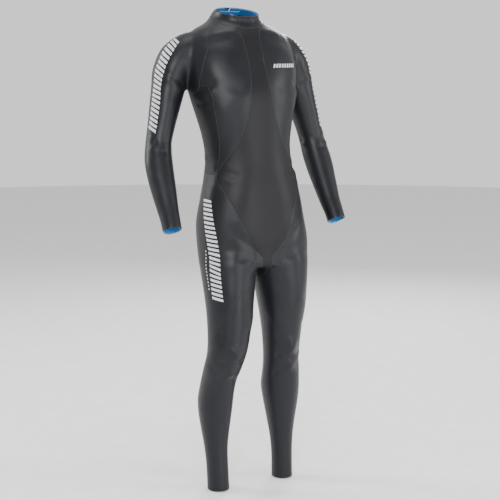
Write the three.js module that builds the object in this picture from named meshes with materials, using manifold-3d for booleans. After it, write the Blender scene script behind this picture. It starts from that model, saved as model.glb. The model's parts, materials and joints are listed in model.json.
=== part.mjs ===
// A full-length back-zip wetsuit, standing in the shape of the body that it was cut for.
// Millimetres, +Z up, the wearer faces -Y and the wearer's right is -X.
// The stations below are heights above the ankle openings. The finished group is moved so
// that its origin is the centre of the collar seam, where a hanger or a neck holds the suit.
import * as THREE from 'three';
import { mergeVertices } from 'three/addons/utils/BufferGeometryUtils.js';
import Module from 'manifold-3d';

const wasm = await Module();
wasm.setup();

// Driving dimensions

const TORSO_THICKNESS = 4;
const LEG_THICKNESS = 4;
const SLEEVE_THICKNESS = 3;
const COLLAR_THICKNESS = 3.5;
const SEAM_GAP = 0.5;          // clear gap across every seam
const SEAM_GAP_ANGLE = 0.22;   // half of it, in degrees on a ring
const ROW_STEP = 42;           // height of one row of facets on a thigh or forearm
const SHIN_ROW_STEP = 58;
const ARM_ROW_STEP = 24;       // rows are closer where the arm turns at the shoulder and elbow
const BACK_SQUARER = 0.5;      // the back of a section is flatter than its front
const TORSO_COLUMN = 15;       // width of one column of facets, in degrees
const LIMB_COLUMN = 22.5;

const NECK_CENTRE = { x: -7, y: 24, z: 1368 };
const SHOULDER_MIDDLE_X = -3;

const CROTCH_HEIGHT = 660;
const LEG_TOP = 656;
const HIP_SEAM_HEIGHT = 938;
const CHEST_POINT_HEIGHT = 952;
const ARMPIT_HEIGHT = 1160;
const SHOULDER_PANEL_HEIGHT = 1184;
const COLLAR_SEAM_HEIGHT = 1396;

// Every torso panel shares these rows, so that its edge follows its neighbour's
const TORSO_ROWS = [
  COLLAR_SEAM_HEIGHT, 1372, 1350, 1325, 1295, 1260, 1222, SHOULDER_PANEL_HEIGHT, ARMPIT_HEIGHT,
  1118, 1076, 1036, 1000, 976, CHEST_POINT_HEIGHT, HIP_SEAM_HEIGHT, 896, 852, 808, 762, 710,
  CROTCH_HEIGHT,
];

const ELBOW = { x: 256, y: 15, z: 1008, halfBand: 46 };
const KNEE = { z: 425, halfBand: 78 };

// Sections: height, centre x, centre y, half width, front depth, back depth, squareness
const TORSO = [
  [1400, -7, 20, 64, 60, 68, 2.0],
  [1376, -7, 24, 74, 66, 73, 2.0],
  [1362, -6, 24, 94, 70, 71, 2.0],
  [1347, -5, 24, 128, 80, 70, 2.0],
  [1325, -4, 22, 156, 92, 70, 2.1],
  [1280, -2, 16, 170, 104, 72, 2.3],
  [1220, 0, 6, 169, 116, 76, 2.4],
  [1160, 1, -4, 161, 122, 80, 2.4],
  [1100, 2, -16, 146, 113, 86, 2.3],
  [1040, 4, -27, 132, 102, 92, 2.2],
  [980, 7, -36, 128, 94, 95, 2.2],
  [920, 9, -42, 138, 94, 97, 2.2],
  [860, 11, -48, 152, 94, 110, 2.2],
  [800, 12, -50, 161, 95, 121, 2.3],
  [740, 13, -52, 164, 93, 122, 2.3],
  [680, 13, -54, 163, 88, 110, 2.3],
  [640, 13, -56, 160, 86, 102, 2.3],
];

// Limb sections: height, centre x, centre y, half width, half depth
const LEG_RIGHT = [
  [735, -66, -48, 88, 100],
  [690, -68, -50, 86, 96],
  [640, -71, -56, 79, 90],
  [590, -75, -68, 73, 83],
  [530, -80, -80, 67, 74],
  [470, -86, -88, 62, 68],
  [415, -92, -88, 58, 63],
  [365, -100, -74, 56, 59],
  [320, -104, -54, 52, 57],
  [280, -106, -44, 51, 58],
  [235, -109, -42, 50, 56],
  [185, -111, -46, 44, 47],
  [130, -113, -54, 36, 38],
  [75, -113, -62, 33, 35],
  [0, -113, -70, 33, 35],
];
const LEG_LEFT = [
  [735, 94, -48, 90, 100],
  [690, 96, -50, 90, 96],
  [640, 99, -54, 84, 90],
  [590, 102, -58, 77, 84],
  [530, 104, -62, 70, 75],
  [470, 104, -62, 61, 66],
  [415, 104, -60, 55, 60],
  [365, 106, -56, 54, 57],
  [320, 108, -50, 56, 59],
  [280, 110, -44, 57, 61],
  [235, 112, -42, 52, 56],
  [185, 113, -42, 44, 47],
  [130, 114, -44, 36, 38],
  [75, 115, -46, 32, 34],
  [0, 115, -48, 32, 34],
];
const SLEEVE = [
  [1300, 104, 20, 44, 46],
  [1281, 152, 34, 57, 54],
  [1258, 183, 40, 59, 56],
  [1222, 203, 42, 54, 54],
  [1182, 213, 38, 50, 50],
  [1127, 227, 32, 45, 46],
  [1072, 242, 24, 40, 42],
  [1022, 254, 18, 38, 40],
  [977, 261, 4, 41, 41],
  [932, 264, -18, 40, 39],
  [887, 266, -44, 37, 35],
  [842, 267, -70, 32, 31],
  [800, 269, -97, 29, 28],
  [783, 270, -106, 29, 28],
];
const WRIST_HEIGHT = 784;
const SLEEVE_TOP = 1299;

// The strip between the legs: its middle, half its length from front to back, and its droop
const GUSSET = { x: 13, y: -46, halfLength: 92, width: 30, sag: 8, clearance: 1 };

// Collar sections: distance along the collar's axis, half width, front depth, back depth
const COLLAR = { tilt: 14, lean: -7, height: 31 };
const COLLAR_SECTIONS = [
  [0, 70, 66, 66],
  [10, 66, 62, 63],
  [31, 64, 61, 62],
];
const COLLAR_FRONT_SEAM = 17;
const COLLAR_BACK_GAP = 8;
const COLLAR_COLUMN = 12;

// Layers of the collar's fastening, outside its skin: the level of each one's outer face
const FASTENING = { tab: 6.2, tabThickness: 2.6, hooks: 3.2, loops: 1.9, padThickness: 0.8 };
const FASTENING_ENDS = { tabStart: 166, tabEnd: 217, padStart: 190, padEnd: 214 };

// Seams on the torso: height and angle from the front, in degrees towards the side
const CENTRE_SEAM = alongHeight([
  [1400, 27], [1362, 22], [1330, 11], [1290, 6.6], [1215, 6.2], [1170, 8.2],
  [1095, 15], [1030, 29], [1000, 41], [970, 56], [938, 69],
]);
const RAGLAN_FRONT = alongHeight([
  [1400, 80], [1362, 66], [1325, 50], [1300, 49], [1258, 56], [1212, 65], [1160, 66],
]);
const RAGLAN_BACK = alongHeight([
  [1400, 112], [1362, 124], [1325, 132], [1258, 130], [1212, 124], [1160, 116],
]);
const SIDE_FRONT = alongHeight([
  [1200, 63], [1160, 54], [1100, 57], [1040, 60], [980, 66], [938, 72],
]);
const SIDE_BACK = alongHeight([[1200, 122], [1160, 116], [1040, 118], [938, 122]]);
const HIP_FRONT = alongHeight([
  [938, 70.5], [926, 69], [885, 52], [847, 39], [808, 28.5], [765, 20], [700, 13], [660, 11],
]);
const SEAT_SIDE = alongHeight([[938, 134], [860, 138], [760, 146], [660, 152]]);

// Seams on the leg: angle from the front, in degrees towards the outside
const THIGH_FRONT = alongHeight([[690, -25], [645, -15], [600, 4], [560, 30], [520, 58], [500, 70]]);
const THIGH_BACK = 200;

const ZIP = {
  top: new THREE.Vector3(-6.5, 97, 1378),
  bottom: new THREE.Vector3(7.5, 57, 960),
  slotHalf: 13,
  tapeOuter: 12,
  tapeInner: 4.6,
  tapeThickness: 1.2,
  chainHalf: 4.2,
  cordInner: 1.9,
  toothReach: 1.5,
  toothTaper: 0.2,
  chainTop: 0.6,
  chainThickness: 3,
  toothPitch: 9.6,
  toothClearance: 0.4,
  teethStart: 4,
  flapHalf: 40,
  flapInset: 7.5,
  flapThickness: 2.5,
  flapTop: 1362,
  flapBottom: 950,
  slider: { plate: 1.6, gap: 0.35, top: -6, bottom: -27, wide: 7, narrow: 5.2 },
  bail: { width: 2.6, rise: 4, ends: [-10, -20] },
  pull: { pivotZ: -15, halfWidth: 4.6, length: 46, thickness: 1.6, windowHalf: 2.1, windowLength: 8.5 },
};

const neoprene = new THREE.MeshStandardMaterial({ color: 0x2a2b2f, roughness: 0.42, metalness: 0 });
const darkNeoprene = new THREE.MeshStandardMaterial({ color: 0x232428, roughness: 0.5, metalness: 0 });
const bendNeoprene = new THREE.MeshStandardMaterial({ color: 0x303138, roughness: 0.42, metalness: 0 });
const tapeCloth = new THREE.MeshStandardMaterial({ color: 0x17181a, roughness: 0.9, metalness: 0 });
const toothPlastic = new THREE.MeshStandardMaterial({ color: 0x101114, roughness: 0.35, metalness: 0 });
const sliderMetal = new THREE.MeshStandardMaterial({ color: 0x3c3e42, roughness: 0.3, metalness: 1 });
const hookCloth = new THREE.MeshStandardMaterial({ color: 0x1b1c1e, roughness: 0.95, metalness: 0 });

// Interpolation

function alongHeight(points) {
  return (z) => {
    if (z >= points[0][0]) return points[0][1];
    for (let i = 1; i < points.length; i++) {
      const [z0, v0] = points[i - 1];
      const [z1, v1] = points[i];
      if (z >= z1) return v1 + (v0 - v1) * (z - z1) / (z0 - z1);
    }
    return points[points.length - 1][1];
  };
}

function smoothRow(rows, z) {
  let i = 0;
  while (i < rows.length - 2 && z < rows[i + 1][0]) i++;
  const t = (rows[i][0] - z) / (rows[i][0] - rows[i + 1][0]);
  const before = rows[Math.max(i - 1, 0)];
  const from = rows[i];
  const to = rows[i + 1];
  const after = rows[Math.min(i + 2, rows.length - 1)];
  return from.map((value, k) => {
    const slope = to[k] - before[k];
    const bend = 2 * before[k] - 5 * value + 4 * to[k] - after[k];
    const twist = -before[k] + 3 * value - 3 * to[k] + after[k];
    return 0.5 * (2 * value + slope * t + bend * t * t + twist * t * t * t);
  });
}

function signedPower(value, power) {
  return Math.sign(value) * Math.abs(value) ** power;
}

// A loft gives the point of its skin at a height and an angle from the front. The inset is
// measured inwards, and a negative one stands outside the skin.

function torsoPoint(z, degrees, inset) {
  const [, x, y, width, front, back, squareness] = smoothRow(TORSO, z);
  const angle = THREE.MathUtils.degToRad(degrees);
  const power = 2 / (Math.cos(angle) > 0 ? squareness : squareness + BACK_SQUARER);
  const across = signedPower(Math.sin(angle), power);
  const along = signedPower(Math.cos(angle), power);
  const depth = along > 0 ? front : back;
  return new THREE.Vector3(x + across * (width - inset), y - along * (depth - inset), z);
}

function limbLoft(rows, side, middle, level) {
  const centre = (z) => {
    const row = smoothRow(rows, z);
    return new THREE.Vector3(row[1], row[2], z);
  };
  return (z, degrees, inset) => {
    const row = smoothRow(rows, z);
    const along = level
      ? new THREE.Vector3(0, 0, 1)
      : centre(z + 1).sub(centre(z - 1)).normalize();
    const front = new THREE.Vector3(0, -1, 0);
    front.addScaledVector(along, -front.dot(along)).normalize();
    const outward = new THREE.Vector3().crossVectors(front, along).normalize();
    if (outward.x * (level ? side : 1) < 0) outward.negate();
    const angle = THREE.MathUtils.degToRad(degrees);
    const point = centre(z);
    point.addScaledVector(outward, Math.sin(angle) * (row[3] - inset));
    point.addScaledVector(front, Math.cos(angle) * (row[4] - inset));
    if (!level) point.x = middle + side * point.x;
    return point;
  };
}

const legRight = limbLoft(LEG_RIGHT, -1, 0, true);
const legLeft = limbLoft(LEG_LEFT, 1, 0, true);
const sleeveRight = limbLoft(SLEEVE, -1, SHOULDER_MIDDLE_X, false);
const sleeveLeft = limbLoft(SLEEVE, 1, SHOULDER_MIDDLE_X, false);

function collarPoint(height, degrees, inset) {
  const rows = COLLAR_SECTIONS.map((row) => [-row[0], ...row.slice(1)]);
  const [, width, front, back] = smoothRow(rows, -height);
  const angle = THREE.MathUtils.degToRad(degrees);
  const depth = Math.cos(angle) > 0 ? front : back;
  const lean = COLLAR.lean * height / COLLAR.height;
  const point = new THREE.Vector3(
    Math.sin(angle) * (width - inset),
    lean - Math.cos(angle) * (depth - inset),
    height,
  );
  point.applyAxisAngle(new THREE.Vector3(1, 0, 0), THREE.MathUtils.degToRad(COLLAR.tilt));
  return point.add(new THREE.Vector3(NECK_CENTRE.x, NECK_CENTRE.y, NECK_CENTRE.z));
}

// Closed solids from grids of points

function volumeOf(positions, index) {
  let volume = 0;
  for (let i = 0; i < index.length; i += 3) {
    const [a, b, c] = [0, 1, 2].map((k) => positions[index[i + k]]);
    volume += a.dot(new THREE.Vector3().crossVectors(b, c)) / 6;
  }
  return volume;
}

function solidFrom(positions, index) {
  if (volumeOf(positions, index) < 0) {
    for (let i = 0; i < index.length; i += 3) {
      [index[i + 1], index[i + 2]] = [index[i + 2], index[i + 1]];
    }
  }
  const geometry = new THREE.BufferGeometry();
  const numbers = positions.flatMap((point) => point.toArray());
  geometry.setAttribute('position', new THREE.Float32BufferAttribute(numbers, 3));
  geometry.setIndex(index);
  return geometry;
}

function quad(index, a, b, c, d) {
  index.push(a, b, c, a, c, d);
}

function rowHeights(top, bottom, step) {
  const rows = [top];
  for (let z = Math.ceil(top / step) * step - step; z > bottom + step * 0.2; z -= step) {
    if (z < top - step * 0.2) rows.push(z);
  }
  rows.push(bottom);
  return rows;
}

function torsoRows(top, bottom) {
  return [top, ...TORSO_ROWS.filter((z) => z < top - 1 && z > bottom + 1), bottom];
}

// A curved plate between two seams of a loft
function plate(loft, rows, startEdge, endEdge, column, inset, thickness) {
  const widest = Math.max(...rows.map((z) => Math.abs(endEdge(z) - startEdge(z))));
  const columns = Math.max(1, Math.round(widest / column));
  const positions = [];
  for (const layer of [inset, inset + thickness]) {
    for (const z of rows) {
      const start = startEdge(z) + SEAM_GAP_ANGLE;
      const end = endEdge(z) - SEAM_GAP_ANGLE;
      for (let j = 0; j <= columns; j++) {
        positions.push(loft(z, start + (end - start) * j / columns, layer));
      }
    }
  }
  const wide = columns + 1;
  const layerSize = rows.length * wide;
  const at = (layer, i, j) => layer * layerSize + i * wide + j;
  const index = [];
  for (let i = 0; i + 1 < rows.length; i++) {
    for (let j = 0; j < columns; j++) {
      quad(index, at(0, i, j), at(0, i + 1, j), at(0, i + 1, j + 1), at(0, i, j + 1));
      quad(index, at(1, i, j), at(1, i, j + 1), at(1, i + 1, j + 1), at(1, i + 1, j));
    }
    quad(index, at(0, i, 0), at(1, i, 0), at(1, i + 1, 0), at(0, i + 1, 0));
    quad(index, at(0, i, columns), at(0, i + 1, columns), at(1, i + 1, columns), at(1, i, columns));
  }
  const last = rows.length - 1;
  for (let j = 0; j < columns; j++) {
    quad(index, at(0, 0, j), at(0, 0, j + 1), at(1, 0, j + 1), at(1, 0, j));
    quad(index, at(0, last, j), at(1, last, j), at(1, last, j + 1), at(0, last, j + 1));
  }
  return solidFrom(positions, index);
}

// A tube all round a loft, open at both ends
function tube(loft, rows, column, thickness) {
  const columns = Math.round(360 / column);
  const positions = [];
  for (const inset of [0, thickness]) {
    for (const z of rows) {
      for (let j = 0; j < columns; j++) positions.push(loft(z, 360 * j / columns, inset));
    }
  }
  const at = (layer, i, j) => (layer * rows.length + i) * columns + (j % columns);
  const index = [];
  for (let j = 0; j < columns; j++) {
    for (let i = 0; i + 1 < rows.length; i++) {
      quad(index, at(0, i, j), at(0, i + 1, j), at(0, i + 1, j + 1), at(0, i, j + 1));
      quad(index, at(1, i, j), at(1, i, j + 1), at(1, i + 1, j + 1), at(1, i + 1, j));
    }
    const last = rows.length - 1;
    quad(index, at(0, 0, j), at(0, 0, j + 1), at(1, 0, j + 1), at(1, 0, j));
    quad(index, at(0, last, j), at(1, last, j), at(1, last, j + 1), at(0, last, j + 1));
  }
  return solidFrom(positions, index);
}

// A filled loft, used to cut the pieces that meet it
function filled(loft, rows, column, inset) {
  const columns = Math.round(360 / column);
  const positions = [];
  for (const z of rows) {
    for (let j = 0; j < columns; j++) positions.push(loft(z, 360 * j / columns, inset));
  }
  const at = (i, j) => i * columns + (j % columns);
  const last = rows.length - 1;
  const index = [];
  for (let j = 0; j < columns; j++) {
    for (let i = 0; i < last; i++) quad(index, at(i, j), at(i + 1, j), at(i + 1, j + 1), at(i, j + 1));
  }
  for (let j = 1; j + 1 < columns; j++) {
    index.push(at(0, 0), at(0, j), at(0, j + 1));
    index.push(at(last, 0), at(last, j + 1), at(last, j));
  }
  return solidFrom(positions, index);
}

// Cutting

function toManifold(geometry) {
  const merged = welded(geometry);
  return new wasm.Manifold(new wasm.Mesh({
    numProp: 3,
    vertProperties: Float32Array.from(merged.attributes.position.array),
    triVerts: Uint32Array.from(merged.index.array),
  }));
}

function fromManifold(manifold) {
  const pieces = manifold.decompose().sort((a, b) => b.volume() - a.volume());
  const mesh = pieces[0].getMesh();
  const geometry = new THREE.BufferGeometry();
  geometry.setAttribute('position', new THREE.Float32BufferAttribute(mesh.vertProperties, 3));
  geometry.setIndex(Array.from(mesh.triVerts));
  return geometry;
}

function cutAway(geometry, ...cutters) {
  return fromManifold(cutters.reduce((left, cutter) => left.subtract(cutter), toManifold(geometry)));
}

// The suit

const suit = new THREE.Group();

function add(name, geometry, material, parent = suit) {
  const flat = geometry.index ? geometry.toNonIndexed() : geometry;
  flat.computeVertexNormals();
  const mesh = new THREE.Mesh(flat, material);
  mesh.name = name;
  parent.add(mesh);
  return mesh;
}

const SIDES = [
  { name: 'right', sign: -1, leg: legRight, sleeve: sleeveRight },
  { name: 'left', sign: 1, leg: legLeft, sleeve: sleeveLeft },
];

// Spaces that a neighbour fills, cut out of the pieces that meet it
const upperArmRows = rowHeights(SLEEVE_TOP, ELBOW.z + ELBOW.halfBand, ARM_ROW_STEP);
const sleeveSpace = SIDES.map(
  (side) => toManifold(filled(side.sleeve, upperArmRows, LIMB_COLUMN, -SEAM_GAP)),
);
const trunkRows = rowHeights(COLLAR_SEAM_HEIGHT + 2, ARMPIT_HEIGHT - 60, ARM_ROW_STEP);
const torsoSpace = toManifold(filled(torsoPoint, trunkRows, TORSO_COLUMN, -SEAM_GAP));
const gussetSpace = toManifold(box(
  GUSSET.width + GUSSET.clearance,
  2 * (GUSSET.halfLength + GUSSET.clearance),
  20,
  GUSSET.x,
  GUSSET.y,
  LEG_TOP,
));
const collarSpace = toManifold(filled(collarPoint, [-1, 10, 20, 60], TORSO_COLUMN, -16));

function mirrored(edge, sign) {
  return (z) => sign * edge(z);
}

// A torso panel between two seams, given for the wearer's left and mirrored for the right
function torsoPanel(side, top, bottom, frontEdge, backEdge) {
  const edges = [mirrored(frontEdge, side.sign), mirrored(backEdge, side.sign)];
  if (side.sign < 0) edges.reverse();
  return plate(torsoPoint, torsoRows(top, bottom), edges[0], edges[1], TORSO_COLUMN, 0, TORSO_THICKNESS);
}

// The angle of the back's skin at a distance from its middle line
function backEdge(distance) {
  return (z) => {
    const [, , , width, , , squareness] = smoothRow(TORSO, z);
    const part = (distance / width) ** ((squareness + BACK_SQUARER) / 2);
    return 180 - THREE.MathUtils.radToDeg(Math.asin(part));
  };
}

function addTorso() {
  const top = COLLAR_SEAM_HEIGHT;
  const waist = HIP_SEAM_HEIGHT + SEAM_GAP;
  const frontEdge = (z) => (z > HIP_SEAM_HEIGHT ? CENTRE_SEAM(z) : HIP_FRONT(z));
  const frontRows = torsoRows(top, CROTCH_HEIGHT);
  const frontStart = mirrored(frontEdge, -1);
  const front = plate(torsoPoint, frontRows, frontStart, frontEdge, TORSO_COLUMN, 0, TORSO_THICKNESS);
  add('front_centre_panel', cutAway(front, collarSpace), darkNeoprene);
  SIDES.forEach((side, i) => {
    const chestEdge = (z) => (z > ARMPIT_HEIGHT ? RAGLAN_FRONT(z) : SIDE_FRONT(z));
    const chest = torsoPanel(side, top, CHEST_POINT_HEIGHT, CENTRE_SEAM, chestEdge);
    add(`chest_panel_${side.name}`, cutAway(chest, collarSpace, sleeveSpace[i]), neoprene);
    const shoulder = torsoPanel(side, top, SHOULDER_PANEL_HEIGHT, RAGLAN_FRONT, RAGLAN_BACK);
    add(`shoulder_panel_${side.name}`, cutAway(shoulder, collarSpace, sleeveSpace[i]), neoprene);
    const flank = torsoPanel(side, ARMPIT_HEIGHT, waist, SIDE_FRONT, SIDE_BACK);
    add(`side_panel_${side.name}`, cutAway(flank, sleeveSpace[i]), darkNeoprene);
    const bladeEdge = (z) => (z > ARMPIT_HEIGHT ? RAGLAN_BACK(z) : SIDE_BACK(z));
    const back = torsoPanel(side, top, waist, bladeEdge, backEdge(ZIP.slotHalf));
    add(`back_panel_${side.name}`, cutAway(back, collarSpace, sleeveSpace[i]), neoprene);
    const hip = torsoPanel(side, HIP_SEAM_HEIGHT - SEAM_GAP, CROTCH_HEIGHT, HIP_FRONT, SEAT_SIDE);
    add(`hip_panel_${side.name}`, hip, neoprene);
  });
  const seatRows = torsoRows(HIP_SEAM_HEIGHT - SEAM_GAP, CROTCH_HEIGHT);
  const seatEnd = (z) => 360 - SEAT_SIDE(z);
  const seat = plate(torsoPoint, seatRows, SEAT_SIDE, seatEnd, TORSO_COLUMN, 0, TORSO_THICKNESS);
  add('seat_panel', seat, darkNeoprene);
}

// The gusset is a sagging strip that joins the front panel to the seat between the legs
function addGusset() {
  const { halfLength, width, sag } = GUSSET;
  const outline = new THREE.Shape();
  outline.moveTo(-halfLength, 0);
  outline.quadraticCurveTo(0, -2 * sag, halfLength, 0);
  outline.lineTo(halfLength, TORSO_THICKNESS);
  outline.quadraticCurveTo(0, TORSO_THICKNESS - 2 * sag, -halfLength, TORSO_THICKNESS);
  outline.closePath();
  const strip = new THREE.ExtrudeGeometry(outline, { depth: width, bevelEnabled: false, curveSegments: 8 });
  const gusset = add('crotch_gusset', welded(strip), darkNeoprene);
  gusset.rotation.set(Math.PI / 2, Math.PI / 2, 0);
  gusset.position.set(GUSSET.x - width / 2, GUSSET.y, CROTCH_HEIGHT - TORSO_THICKNESS - SEAM_GAP);
}

function welded(geometry) {
  const bare = geometry.clone();
  bare.deleteAttribute('normal');
  bare.deleteAttribute('uv');
  return mergeVertices(bare, 1e-4);
}

function addSleeves() {
  for (const side of SIDES) {
    const bandTop = ELBOW.z + ELBOW.halfBand;
    const bandBottom = ELBOW.z - ELBOW.halfBand;
    const upperRows = rowHeights(SLEEVE_TOP, bandTop + SEAM_GAP, ARM_ROW_STEP);
    const upper = tube(side.sleeve, upperRows, LIMB_COLUMN, SLEEVE_THICKNESS);
    add(`sleeve_upper_${side.name}`, cutAway(upper, torsoSpace), neoprene);
    const elbowRows = rowHeights(bandTop, bandBottom, ARM_ROW_STEP);
    const elbow = tube(side.sleeve, elbowRows, LIMB_COLUMN, SLEEVE_THICKNESS);
    add(`sleeve_elbow_${side.name}`, elbow, bendNeoprene);
    const forearmRows = rowHeights(bandBottom - SEAM_GAP, WRIST_HEIGHT, ROW_STEP);
    const forearm = tube(side.sleeve, forearmRows, LIMB_COLUMN, SLEEVE_THICKNESS);
    add(`sleeve_forearm_${side.name}`, forearm, neoprene);
  }
}

function addLegs() {
  const bandTop = KNEE.z + KNEE.halfBand;
  const bandBottom = KNEE.z - KNEE.halfBand;
  for (const side of SIDES) {
    const thighRows = rowHeights(LEG_TOP - SEAM_GAP, bandTop + SEAM_GAP, ROW_STEP);
    const outer = plate(side.leg, thighRows, THIGH_FRONT, () => THIGH_BACK, LIMB_COLUMN, 0, LEG_THICKNESS);
    add(`thigh_outer_panel_${side.name}`, outer, neoprene);
    const innerStart = () => THIGH_BACK - 360;
    const inner = plate(side.leg, thighRows, innerStart, THIGH_FRONT, LIMB_COLUMN, 0, LEG_THICKNESS);
    add(`thigh_inner_panel_${side.name}`, cutAway(inner, gussetSpace), darkNeoprene);
    const kneeRows = rowHeights(bandTop, bandBottom, ROW_STEP);
    add(`leg_knee_${side.name}`, tube(side.leg, kneeRows, LIMB_COLUMN, LEG_THICKNESS), bendNeoprene);
    const shinRows = rowHeights(bandBottom - SEAM_GAP, 0, SHIN_ROW_STEP);
    add(`leg_shin_${side.name}`, tube(side.leg, shinRows, LIMB_COLUMN, LEG_THICKNESS), neoprene);
  }
}

function collarPlate(start, end, bottom, top, inset, thickness) {
  const rows = [bottom, (bottom + top) / 2, top];
  return plate(collarPoint, rows, () => start, () => end, COLLAR_COLUMN, inset, thickness);
}

function addCollar() {
  const seam = COLLAR_FRONT_SEAM;
  const back = 180 - COLLAR_BACK_GAP;
  const top = COLLAR.height;
  add('collar_front_insert', collarPlate(-seam, seam, 0, top, 0, COLLAR_THICKNESS), darkNeoprene);
  add('collar_left', collarPlate(seam, back, 0, top, 0, COLLAR_THICKNESS), neoprene);
  add('collar_right', collarPlate(-back, -seam, 0, top, 0, COLLAR_THICKNESS), neoprene);
  // The tab is sewn to the left half and closes on a loop pad on the right half
  const { tab, tabThickness, hooks, loops, padThickness } = FASTENING;
  const { tabStart, tabEnd, padStart, padEnd } = FASTENING_ENDS;
  const tabPlate = collarPlate(tabStart, tabEnd, 4, top - 2, -tab, tabThickness);
  add('collar_loop_pad', collarPlate(padStart, padEnd, 7, top - 5, -loops, padThickness), hookCloth);
  add('collar_tab', tabPlate, neoprene);
  add('collar_hook_pad', collarPlate(padStart, padEnd, 7, top - 5, -hooks, padThickness), hookCloth);
}

function box(width, depth, height, x, y, z) {
  const geometry = new THREE.BoxGeometry(width, depth, height);
  geometry.translate(x, y, z);
  return welded(geometry);
}

// An outline drawn across (x) and along (z) the zip, as thick as its two levels say
function slab(outline, high, low) {
  const geometry = new THREE.ExtrudeGeometry(outline, { depth: high - low, bevelEnabled: false });
  geometry.rotateX(Math.PI / 2);
  geometry.translate(0, high, 0);
  return welded(geometry);
}

function outlineOf(points) {
  return new THREE.Shape(points.map(([x, z]) => new THREE.Vector2(x, z)));
}

// One half of the chain: a cord with teeth that reach over the middle between the other half's
function addTeeth(zip, side, length) {
  const { chainHalf, cordInner, toothReach, toothTaper, toothPitch, toothClearance } = ZIP;
  const points = [[chainHalf, 0], [chainHalf, -length], [cordInner, -length]];
  const first = side.sign > 0 ? 0 : toothPitch / 2;
  const count = Math.floor(length / toothPitch) - 1;
  for (let i = count; i >= 0; i--) {
    const high = -(i * toothPitch + first + toothClearance);
    const low = high - toothPitch / 2 + 2 * toothClearance;
    points.push([cordInner, low - toothTaper], [-toothReach, low]);
    points.push([-toothReach, high], [cordInner, high + toothTaper]);
  }
  points.push([cordInner, 0]);
  const outline = outlineOf(points.map(([x, z]) => [side.sign * x, z - ZIP.teethStart]));
  const teeth = slab(outline, ZIP.chainTop, ZIP.chainTop - ZIP.chainThickness);
  add(`zip_teeth_${side.name}`, teeth, toothPlastic, zip);
}

function addSlider(zip) {
  const { plate: plateThickness, gap, top, bottom, wide, narrow } = ZIP.slider;
  const wing = outlineOf([[-wide, top], [wide, top], [narrow, bottom], [-narrow, bottom]]);
  const above = ZIP.chainTop + gap;
  const below = ZIP.chainTop - ZIP.chainThickness - gap;
  const upper = toManifold(slab(wing, above + plateThickness, above));
  const roof = above + plateThickness;
  const { width, rise, ends } = ZIP.bail;
  const posts = ends.map((z) => toManifold(box(width, rise + 0.2, 2, 0, roof + rise / 2 - 0.1, z)));
  const [bailTop, bailBottom] = ends;
  const bailMiddle = (bailTop + bailBottom) / 2;
  const bridge = toManifold(box(width, 1.6, bailTop - bailBottom + 2, 0, roof + rise - 0.4, bailMiddle));
  const body = posts.reduce((all, post) => all.add(post), upper.add(bridge));
  add('zip_slider_body', fromManifold(body), sliderMetal, zip);
  add('zip_slider_back_plate', slab(wing, below, below - plateThickness), sliderMetal, zip);

  // The tab hangs plumb from a bar that passes under the slider's bail
  const tab = new THREE.Group();
  tab.position.set(0, roof + 1.4, ZIP.pull.pivotZ);
  tab.rotation.x = Math.atan2(ZIP.top.y - ZIP.bottom.y, ZIP.top.z - ZIP.bottom.z);
  zip.add(tab);
  const { halfWidth, length, thickness, windowHalf, windowLength } = ZIP.pull;
  const plateOutline = outlineOf([
    [-halfWidth, 0.8], [halfWidth, 0.8], [halfWidth, -length + 2], [halfWidth - 2, -length],
    [-halfWidth + 2, -length], [-halfWidth, -length + 2],
  ]);
  plateOutline.holes.push(new THREE.Path([
    [-windowHalf, -0.8], [-windowHalf, -windowLength], [windowHalf, -windowLength], [windowHalf, -0.8],
  ].map(([x, z]) => new THREE.Vector2(x, z))));
  add('zip_pull_tab', slab(plateOutline, thickness / 2, -thickness / 2), sliderMetal, tab);
}

function addZip() {
  const zip = new THREE.Group();
  const up = ZIP.top.clone().sub(ZIP.bottom);
  const length = up.length();
  up.normalize();
  const across = new THREE.Vector3(1, 0, 0).addScaledVector(up, -up.x).normalize();
  const outwards = new THREE.Vector3().crossVectors(up, across);
  zip.quaternion.setFromRotationMatrix(new THREE.Matrix4().makeBasis(across, outwards, up));
  zip.position.copy(ZIP.top);
  suit.add(zip);

  const tapeWidth = ZIP.tapeOuter - ZIP.tapeInner;
  const tapeMiddle = (ZIP.tapeOuter + ZIP.tapeInner) / 2;
  for (const side of SIDES) {
    const tape = box(tapeWidth, ZIP.tapeThickness, length, side.sign * tapeMiddle, -1, -length / 2);
    add(`zip_tape_${side.name}`, tape, tapeCloth, zip);
    addTeeth(zip, side, length - ZIP.teethStart - 2);
  }
  add('zip_top_stop', box(8, 3.4, 3, 0, -0.9, -2), toothPlastic, zip);
  add('zip_bottom_stop', box(10, 4.2, 8, 0, -0.9, -length - 4.5), toothPlastic, zip);
  addSlider(zip);

  const flapEdge = backEdge(ZIP.flapHalf);
  const flapEnd = (z) => 360 - flapEdge(z);
  const flapRows = torsoRows(ZIP.flapTop, ZIP.flapBottom);
  const flap = plate(torsoPoint, flapRows, flapEdge, flapEnd, 9, ZIP.flapInset, ZIP.flapThickness);
  add('zip_backing_flap', flap, darkNeoprene);
}

addTorso();
addGusset();
addSleeves();
addLegs();
addCollar();
addZip();

suit.position.set(-NECK_CENTRE.x, -NECK_CENTRE.y, -NECK_CENTRE.z);
const wetsuit = new THREE.Group();
wetsuit.add(suit);

export default wetsuit;
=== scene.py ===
"""The looks of a full-length back-zip wetsuit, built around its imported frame.

The suit is made as it is on a cutting table: one smooth form of the body is covered with a skin, the
skin is cut along the seams, and each piece gets its thickness, its rolled seam edges and its lining.
Sizes here are in millimetres above the ankle hems, until a piece is put in its place in metres."""
import functools
import json
import math

import bmesh
import bpy
import numpy as np
from mathutils import Matrix, Vector
from mathutils.bvhtree import BVHTree


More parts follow.
